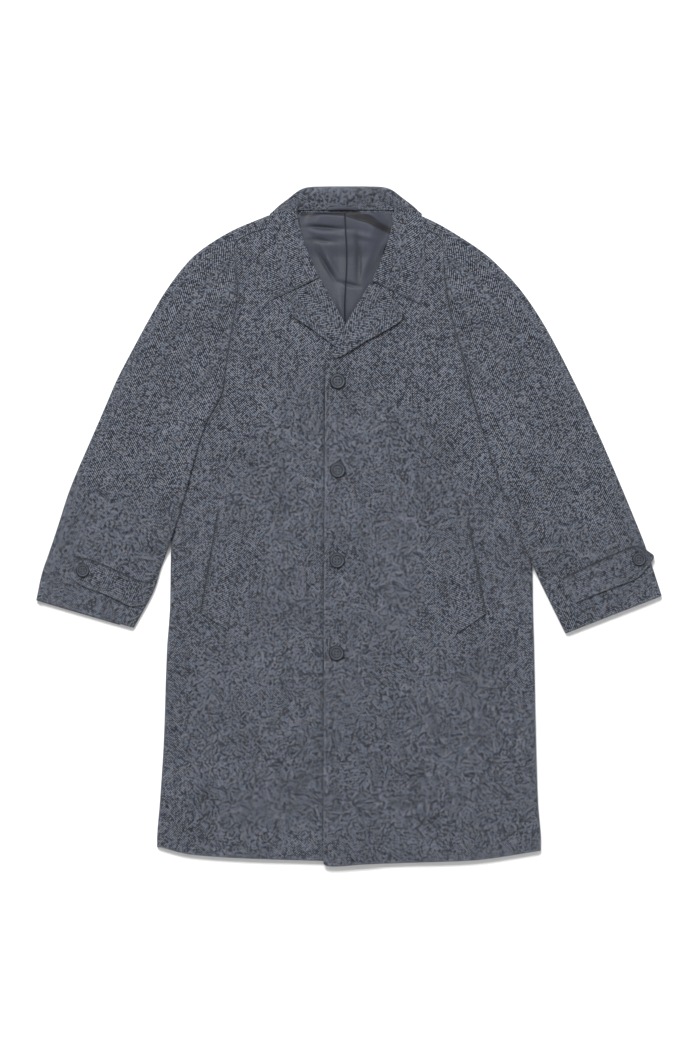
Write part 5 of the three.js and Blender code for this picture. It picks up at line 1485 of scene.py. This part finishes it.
def nap_group():
    """Slow changes of shade, as where the nap lies one way or the other or was pressed."""
    group, start, end = new_group("Nap and pressing", [
        ("Vector", None), ("Patch size", 0.09), ("Streaks", 0.5)],
        ["Shade", "Lint"])
    w = Wires(group)
    vector = start.outputs["Vector"]
    patch = w.noise(vector, w.maths("DIVIDE", 1.0, start.outputs["Patch size"]), 3.0, 0.55)
    stretch = group.nodes.new("ShaderNodeMapping")
    w.join(vector, stretch.inputs["Vector"])
    stretch.inputs["Scale"].default_value = (1.0, 0.16, 1.0)
    streak = w.noise(stretch.outputs[0], 70.0, 2.0, 0.6)
    both = w.maths("ADD", w.maths("SUBTRACT", patch, 0.5),
                   w.maths("MULTIPLY", w.maths("SUBTRACT", streak, 0.5), start.outputs["Streaks"]))
    w.join(w.maths("ADD", both, 0.5), end.inputs["Shade"])
    w.join(w.ramp(w.noise(vector, 260.0, 1.0, 0.5), 0.72, 0.78), end.inputs["Lint"])
    return group


def wear_group():
    """How rubbed the cloth is, from its own edge mask broken up by the yarn."""
    group, start, end = new_group("Edge wear", [
        ("Mask", 0.0), ("Vector", None), ("Amount", 0.5)], ["Wear"])
    w = Wires(group)
    ragged = w.ramp(w.noise(start.outputs["Vector"], 190.0, 2.0, 0.6), 0.3, 0.7)
    worn = w.maths("MULTIPLY", w.maths("MULTIPLY", start.outputs["Mask"], ragged), start.outputs["Amount"])
    w.join(worn, end.inputs["Wear"])
    return group


def new_material(name):
    material = bpy.data.materials.new(name)
    material.use_nodes = True
    tree = material.node_tree
    shader = tree.nodes["Principled BSDF"]
    return material, Wires(tree), shader


def cloth_map(w):
    node = w.tree.nodes.new("ShaderNodeUVMap")
    node.uv_map = "grain"
    return node.outputs["UV"]


def cloth_mask(w, name):
    node = w.tree.nodes.new("ShaderNodeAttribute")
    node.attribute_name = name
    return node.outputs["Fac"]


def bump(w, shader, height, distance, strength):
    node = w.tree.nodes.new("ShaderNodeBump")
    node.inputs["Distance"].default_value = distance
    node.inputs["Strength"].default_value = strength
    w.feed(node.inputs["Height"], height)
    w.join(node.outputs["Normal"], shader.inputs["Normal"])


def wool_material(groups):
    """Blue-grey herringbone: dark and light yarns, nap, lint and rubbed edges, with painted shade from its
    mask.
    """
    material, w, shader = new_material("Coat wool")
    vector = cloth_map(w)
    weave = w.group(groups["herringbone"], Vector=vector, Breaks=0.35)
    nap = w.group(groups["nap"], Vector=vector)
    wear = w.group(groups["wear"], Mask=cloth_mask(w, "worn"), Vector=vector, Amount=0.3)["Wear"]
    hue = w.ramp(w.noise(vector, 75.0, 3.0, 0.6), 0.4, 0.6)
    colour = w.blend(weave["Twill"], WOOL_DARK, w.blend(hue, WOOL_COOL, WOOL_WARM))
    shade = w.ramp(nap["Shade"], 0.2, 0.8, 0.84, 1.16)
    pale = w.blend(w.maths("MULTIPLY", nap["Lint"], 0.35), colour, WOOL_LINT)
    value = w.tree.nodes.new("ShaderNodeHueSaturation")
    w.feed(value.inputs["Value"], shade)
    w.feed(value.inputs["Color"], pale)
    rubbed = w.blend(wear, value.outputs["Color"], WOOL_RUBBED)
    # Painted shade: the colour darkens towards near-black where the painted shade mask is high
    with_painted_shade = w.blend(cloth_mask(w, "painted_shade"), rubbed, WOOL_PAINTED_SHADE)
    w.feed(shader.inputs["Base Color"], with_painted_shade)
    w.feed(shader.inputs["Roughness"], w.ramp(weave["Speckle"], 0.0, 1.0, 0.82, 0.96))
    shader.inputs["Specular IOR Level"].default_value = 0.25
    shader.inputs["Sheen Weight"].default_value = 0.12
    shader.inputs["Sheen Roughness"].default_value = 0.55
    shader.inputs["Sheen Tint"].default_value = (0.66, 0.72, 0.85, 1.0)
    height = w.maths("ADD", w.maths("MULTIPLY", weave["Twill"], 0.8), w.maths("MULTIPLY", nap["Shade"], 0.6))
    bump(w, shader, height, 0.0007, 0.55)
    return material


def lining_material(groups):
    """Smooth, fine twill with a faint sheen, and painted shade from its mask."""
    material, w, shader = new_material("Coat lining")
    vector = cloth_map(w)
    nap = w.group(groups["nap"], Vector=vector, Patch_size=0.05, Streaks=0.7)
    split = w.tree.nodes.new("ShaderNodeSeparateXYZ")
    w.join(vector, split.inputs[0])
    turns = w.maths("MULTIPLY", w.maths("ADD", split.outputs["X"], split.outputs["Y"]), 5200.0)
    twill = w.maths("MULTIPLY_ADD", w.maths("SINE", turns), 0.5, 0.5)
    colour = w.blend(twill, LINING_DARK, LINING_LIGHT)
    value = w.tree.nodes.new("ShaderNodeHueSaturation")
    w.feed(value.inputs["Value"], w.ramp(nap["Shade"], 0.2, 0.8, 0.86, 1.14))
    w.feed(value.inputs["Color"], colour)
    # Painted shade: the colour darkens towards near-black where the painted shade mask is high
    with_painted_shade = w.blend(cloth_mask(w, "painted_shade"), value.outputs["Color"], LINING_PAINTED_SHADE)
    w.feed(shader.inputs["Base Color"], with_painted_shade)
    w.feed(shader.inputs["Roughness"], w.ramp(nap["Shade"], 0.2, 0.8, 0.42, 0.6))
    shader.inputs["Specular IOR Level"].default_value = 0.28
    shader.inputs["Sheen Weight"].default_value = 0.07
    shader.inputs["Sheen Roughness"].default_value = 0.4
    shader.inputs["Sheen Tint"].default_value = (0.7, 0.75, 0.88, 1.0)
    bump(w, shader, twill, 0.0002, 0.4)
    return material


def button_material(groups):
    """Dark horn-like button with cloudy streaks and a satin turned face, and painted shade from its mask."""
    material, w, shader = new_material("Coat button")
    vector = cloth_map(w)
    cloud = w.noise(vector, 150.0, 4.0, 0.6)
    fine = w.noise(vector, 900.0, 2.0, 0.6)
    colour = w.blend(w.ramp(cloud, 0.3, 0.7), BUTTON_DARK, BUTTON_LIGHT)
    wear = w.group(groups["wear"], Mask=w.ramp(cloud, 0.55, 0.75), Vector=vector, Amount=0.25)["Wear"]
    face = w.blend(wear, colour, BUTTON_RUBBED)
    # Painted shade: the colour darkens towards near-black where the painted shade mask is high
    w.feed(shader.inputs["Base Color"], w.blend(cloth_mask(w, "painted_shade"), face, BUTTON_PAINTED_SHADE))
    w.feed(shader.inputs["Roughness"], w.ramp(fine, 0.2, 0.8, 0.4, 0.55))
    shader.inputs["Specular IOR Level"].default_value = 0.25
    bump(w, shader, fine, 0.00015, 0.5)
    return material


def thread_material(name, colour):
    """Twisted sewing thread."""
    material, w, shader = new_material(name)
    vector = cloth_map(w)
    fine = w.noise(vector, 1400.0, 2.0, 0.6)
    dark, light = (tuple(share * c for c in colour) for share in (0.6, 1.5))
    w.feed(shader.inputs["Base Color"], w.blend(w.ramp(fine, 0.3, 0.7), dark, light))
    w.feed(shader.inputs["Roughness"], w.ramp(fine, 0.2, 0.8, 0.5, 0.75))
    shader.inputs["Sheen Weight"].default_value = 0.2
    bump(w, shader, fine, 0.0001, 0.6)
    return material


GROUPS = {"herringbone": herringbone_group(), "nap": nap_group(), "wear": wear_group()}
WOOL = wool_material(GROUPS)
LINING_CLOTH = lining_material(GROUPS)
BUTTON = button_material(GROUPS)
STITCHING = thread_material("Sewing thread", THREAD_COLOUR)
BUTTON_THREAD = thread_material("Button thread", CORD_COLOUR)


# The coat, laid out piece by piece

shells = {"back": back_panel(), "back_lining": back_lining()}
for hand, side in SIDE_NAME.items():
    shells["back_sleeve_" + side] = back_sleeve(hand)
    shells["front_sleeve_" + side] = front_sleeve(hand)
    shells["front_" + side] = front_panel(hand)
    shells["lapel_" + side] = lapel(hand)
shells["collar_stand"] = collar_stand()
shells["collar_leaf"] = collar_leaf()
stand_top = cloth_under([shells["collar_stand"][0], shells["collar_stand"][1]])
shells["hanger_loop"] = hanger_loop(stand_top)

outer_cloth = cloth_under([face for shell in shells.values() for face in shell[:2]])
for hand, side in SIDE_NAME.items():
    shells["pocket_welt_" + side] = lay_on(welt_grid(WELTS[hand]), outer_cloth, WELT_THICK, "outer")
    shells["cuff_tab_" + side] = lay_on(tab_grid(TABS[hand], TAB_TIPS[hand]), outer_cloth, TAB_THICK, "upper")
trimmed_cloth = cloth_under([face for shell in shells.values() for face in shell[:2]])

LININGS = ("back_lining", "hanger_loop")
FOLDED = ("sleeve", "lapel", "leaf")
# A shell's fourth grid, where it has one, is its painted shade mask
for node, (over, under, uv, *painted_shade) in shells.items():
    lined = node in LININGS
    obj = wall(node + "_cloth", over, under, uv, *painted_shade)
    dress(obj, LINING_CLOTH if lined else WOOL, node)
    held = "folded" if any(word in node for word in FOLDED) else "laid"
    if node != "hanger_loop":
        declare_cut(uv)

buttons = [("button_%d" % (i + 1), place_at, FRONT_BUTTON) for i, place_at in enumerate(FRONT_BUTTONS)]
buttons += [("cuff_button_" + SIDE_NAME[hand], CUFF_BUTTONS[hand], CUFF_BUTTON) for hand in SIDE_NAME]
sewn = []
for node, (x, y), width in buttons:
    radius = width / 2
    reach = SEAT_SHARE * radius
    ring = np.linspace(0, 2 * np.pi, 16, endpoint=False)
    heights = [trimmed_cloth(x + reach * math.cos(a), y + reach * math.sin(a)) for a in ring]
    base = float(np.nanmax(heights)) + SEAM
    dress(button_mesh(node + "_turned", x, y, radius, base), BUTTON, node)
    sewn += button_thread(x, y, radius, base)
thread_object("button_threads", sewn, BUTTON_THREAD, BUTTON_CORD)

# Stitching: along the front edge, round the welts and tabs, and round the buttonholes
edge_y = spaced(*EDGE_LINE, FINE)
lines = [np.column_stack([front_inner(LEFT, edge_y) + EDGE_STITCH, edge_y])]
for hand, side in SIDE_NAME.items():
    for grid in (shells["pocket_welt_" + side][0], shells["cuff_tab_" + side][0]):
        k = len(EDGE_STEPS) + 2
        flat = grid[:, :, :2]
        lines += [flat[k:-k, k], flat[k:-k, -k - 1], flat[k, k:-k], flat[-k - 1, k:-k]]
spots = []
for line in lines:
    spots += stitch_spots(line, trimmed_cloth)
thread_object("edge_stitching", spots, STITCHING, THREAD)
holes = []
for x, y in FRONT_BUTTONS:
    holes += hole_spots(x + HOLE_START, y, trimmed_cloth, HOLE_END - HOLE_START)
thread_object("buttonhole_stitching", holes, STITCHING, HOLE_THREAD)


# Floor, light and camera

def floor():
    mesh = bpy.data.meshes.new("floor")
    corners = [(x * FLOOR_HALF, y * FLOOR_HALF, FLOOR_Z) for x, y in ((-1, -1), (1, -1), (1, 1), (-1, 1))]
    mesh.from_pydata(corners, [], [(0, 1, 2, 3)])
    obj = bpy.data.objects.new("floor", mesh)
    bpy.context.scene.collection.objects.link(obj)
    material, w, shader = new_material("Pale floor")
    grain = w.noise(None, 40.0, 2.0, 0.5)
    w.feed(shader.inputs["Base Color"], w.blend(grain, (0.9, 0.9, 0.9), (0.93, 0.93, 0.93)))
    shader.inputs["Roughness"].default_value = 0.9
    obj.data.materials.append(material)


def soft_light(name, spot, size, power):
    """Square light that is aimed at the frame's origin."""
    lamp = bpy.data.lights.new(name, "AREA")
    lamp.shape = "SQUARE"
    lamp.size = size
    lamp.energy = power
    obj = bpy.data.objects.new(name, lamp)
    obj.location = spot
    obj.rotation_euler = (-Vector(spot)).to_track_quat("-Z", "Y").to_euler()
    bpy.context.scene.collection.objects.link(obj)


floor()
soft_light("key_light", KEY_SPOT, KEY_SIZE, KEY_POWER)
soft_light("fill_light", FILL_SPOT, FILL_SIZE, FILL_POWER)
world = bpy.data.worlds.new("studio")
world.use_nodes = True
world.node_tree.nodes["Background"].inputs["Color"].default_value = (1.0, 1.0, 1.0, 1.0)
world.node_tree.nodes["Background"].inputs["Strength"].default_value = AMBIENT
bpy.context.scene.world = world
bpy.context.scene.view_settings.view_transform = "Standard"

lens = bpy.data.cameras.new("camera")
lens.lens = LENS
lens.sensor_width = SENSOR
camera = bpy.data.objects.new("camera", lens)
camera.location = (CAMERA_X, CAMERA_Y, VIEW_LENGTH * LENS / SENSOR)
bpy.context.scene.collection.objects.link(camera)
bpy.context.scene.camera = camera
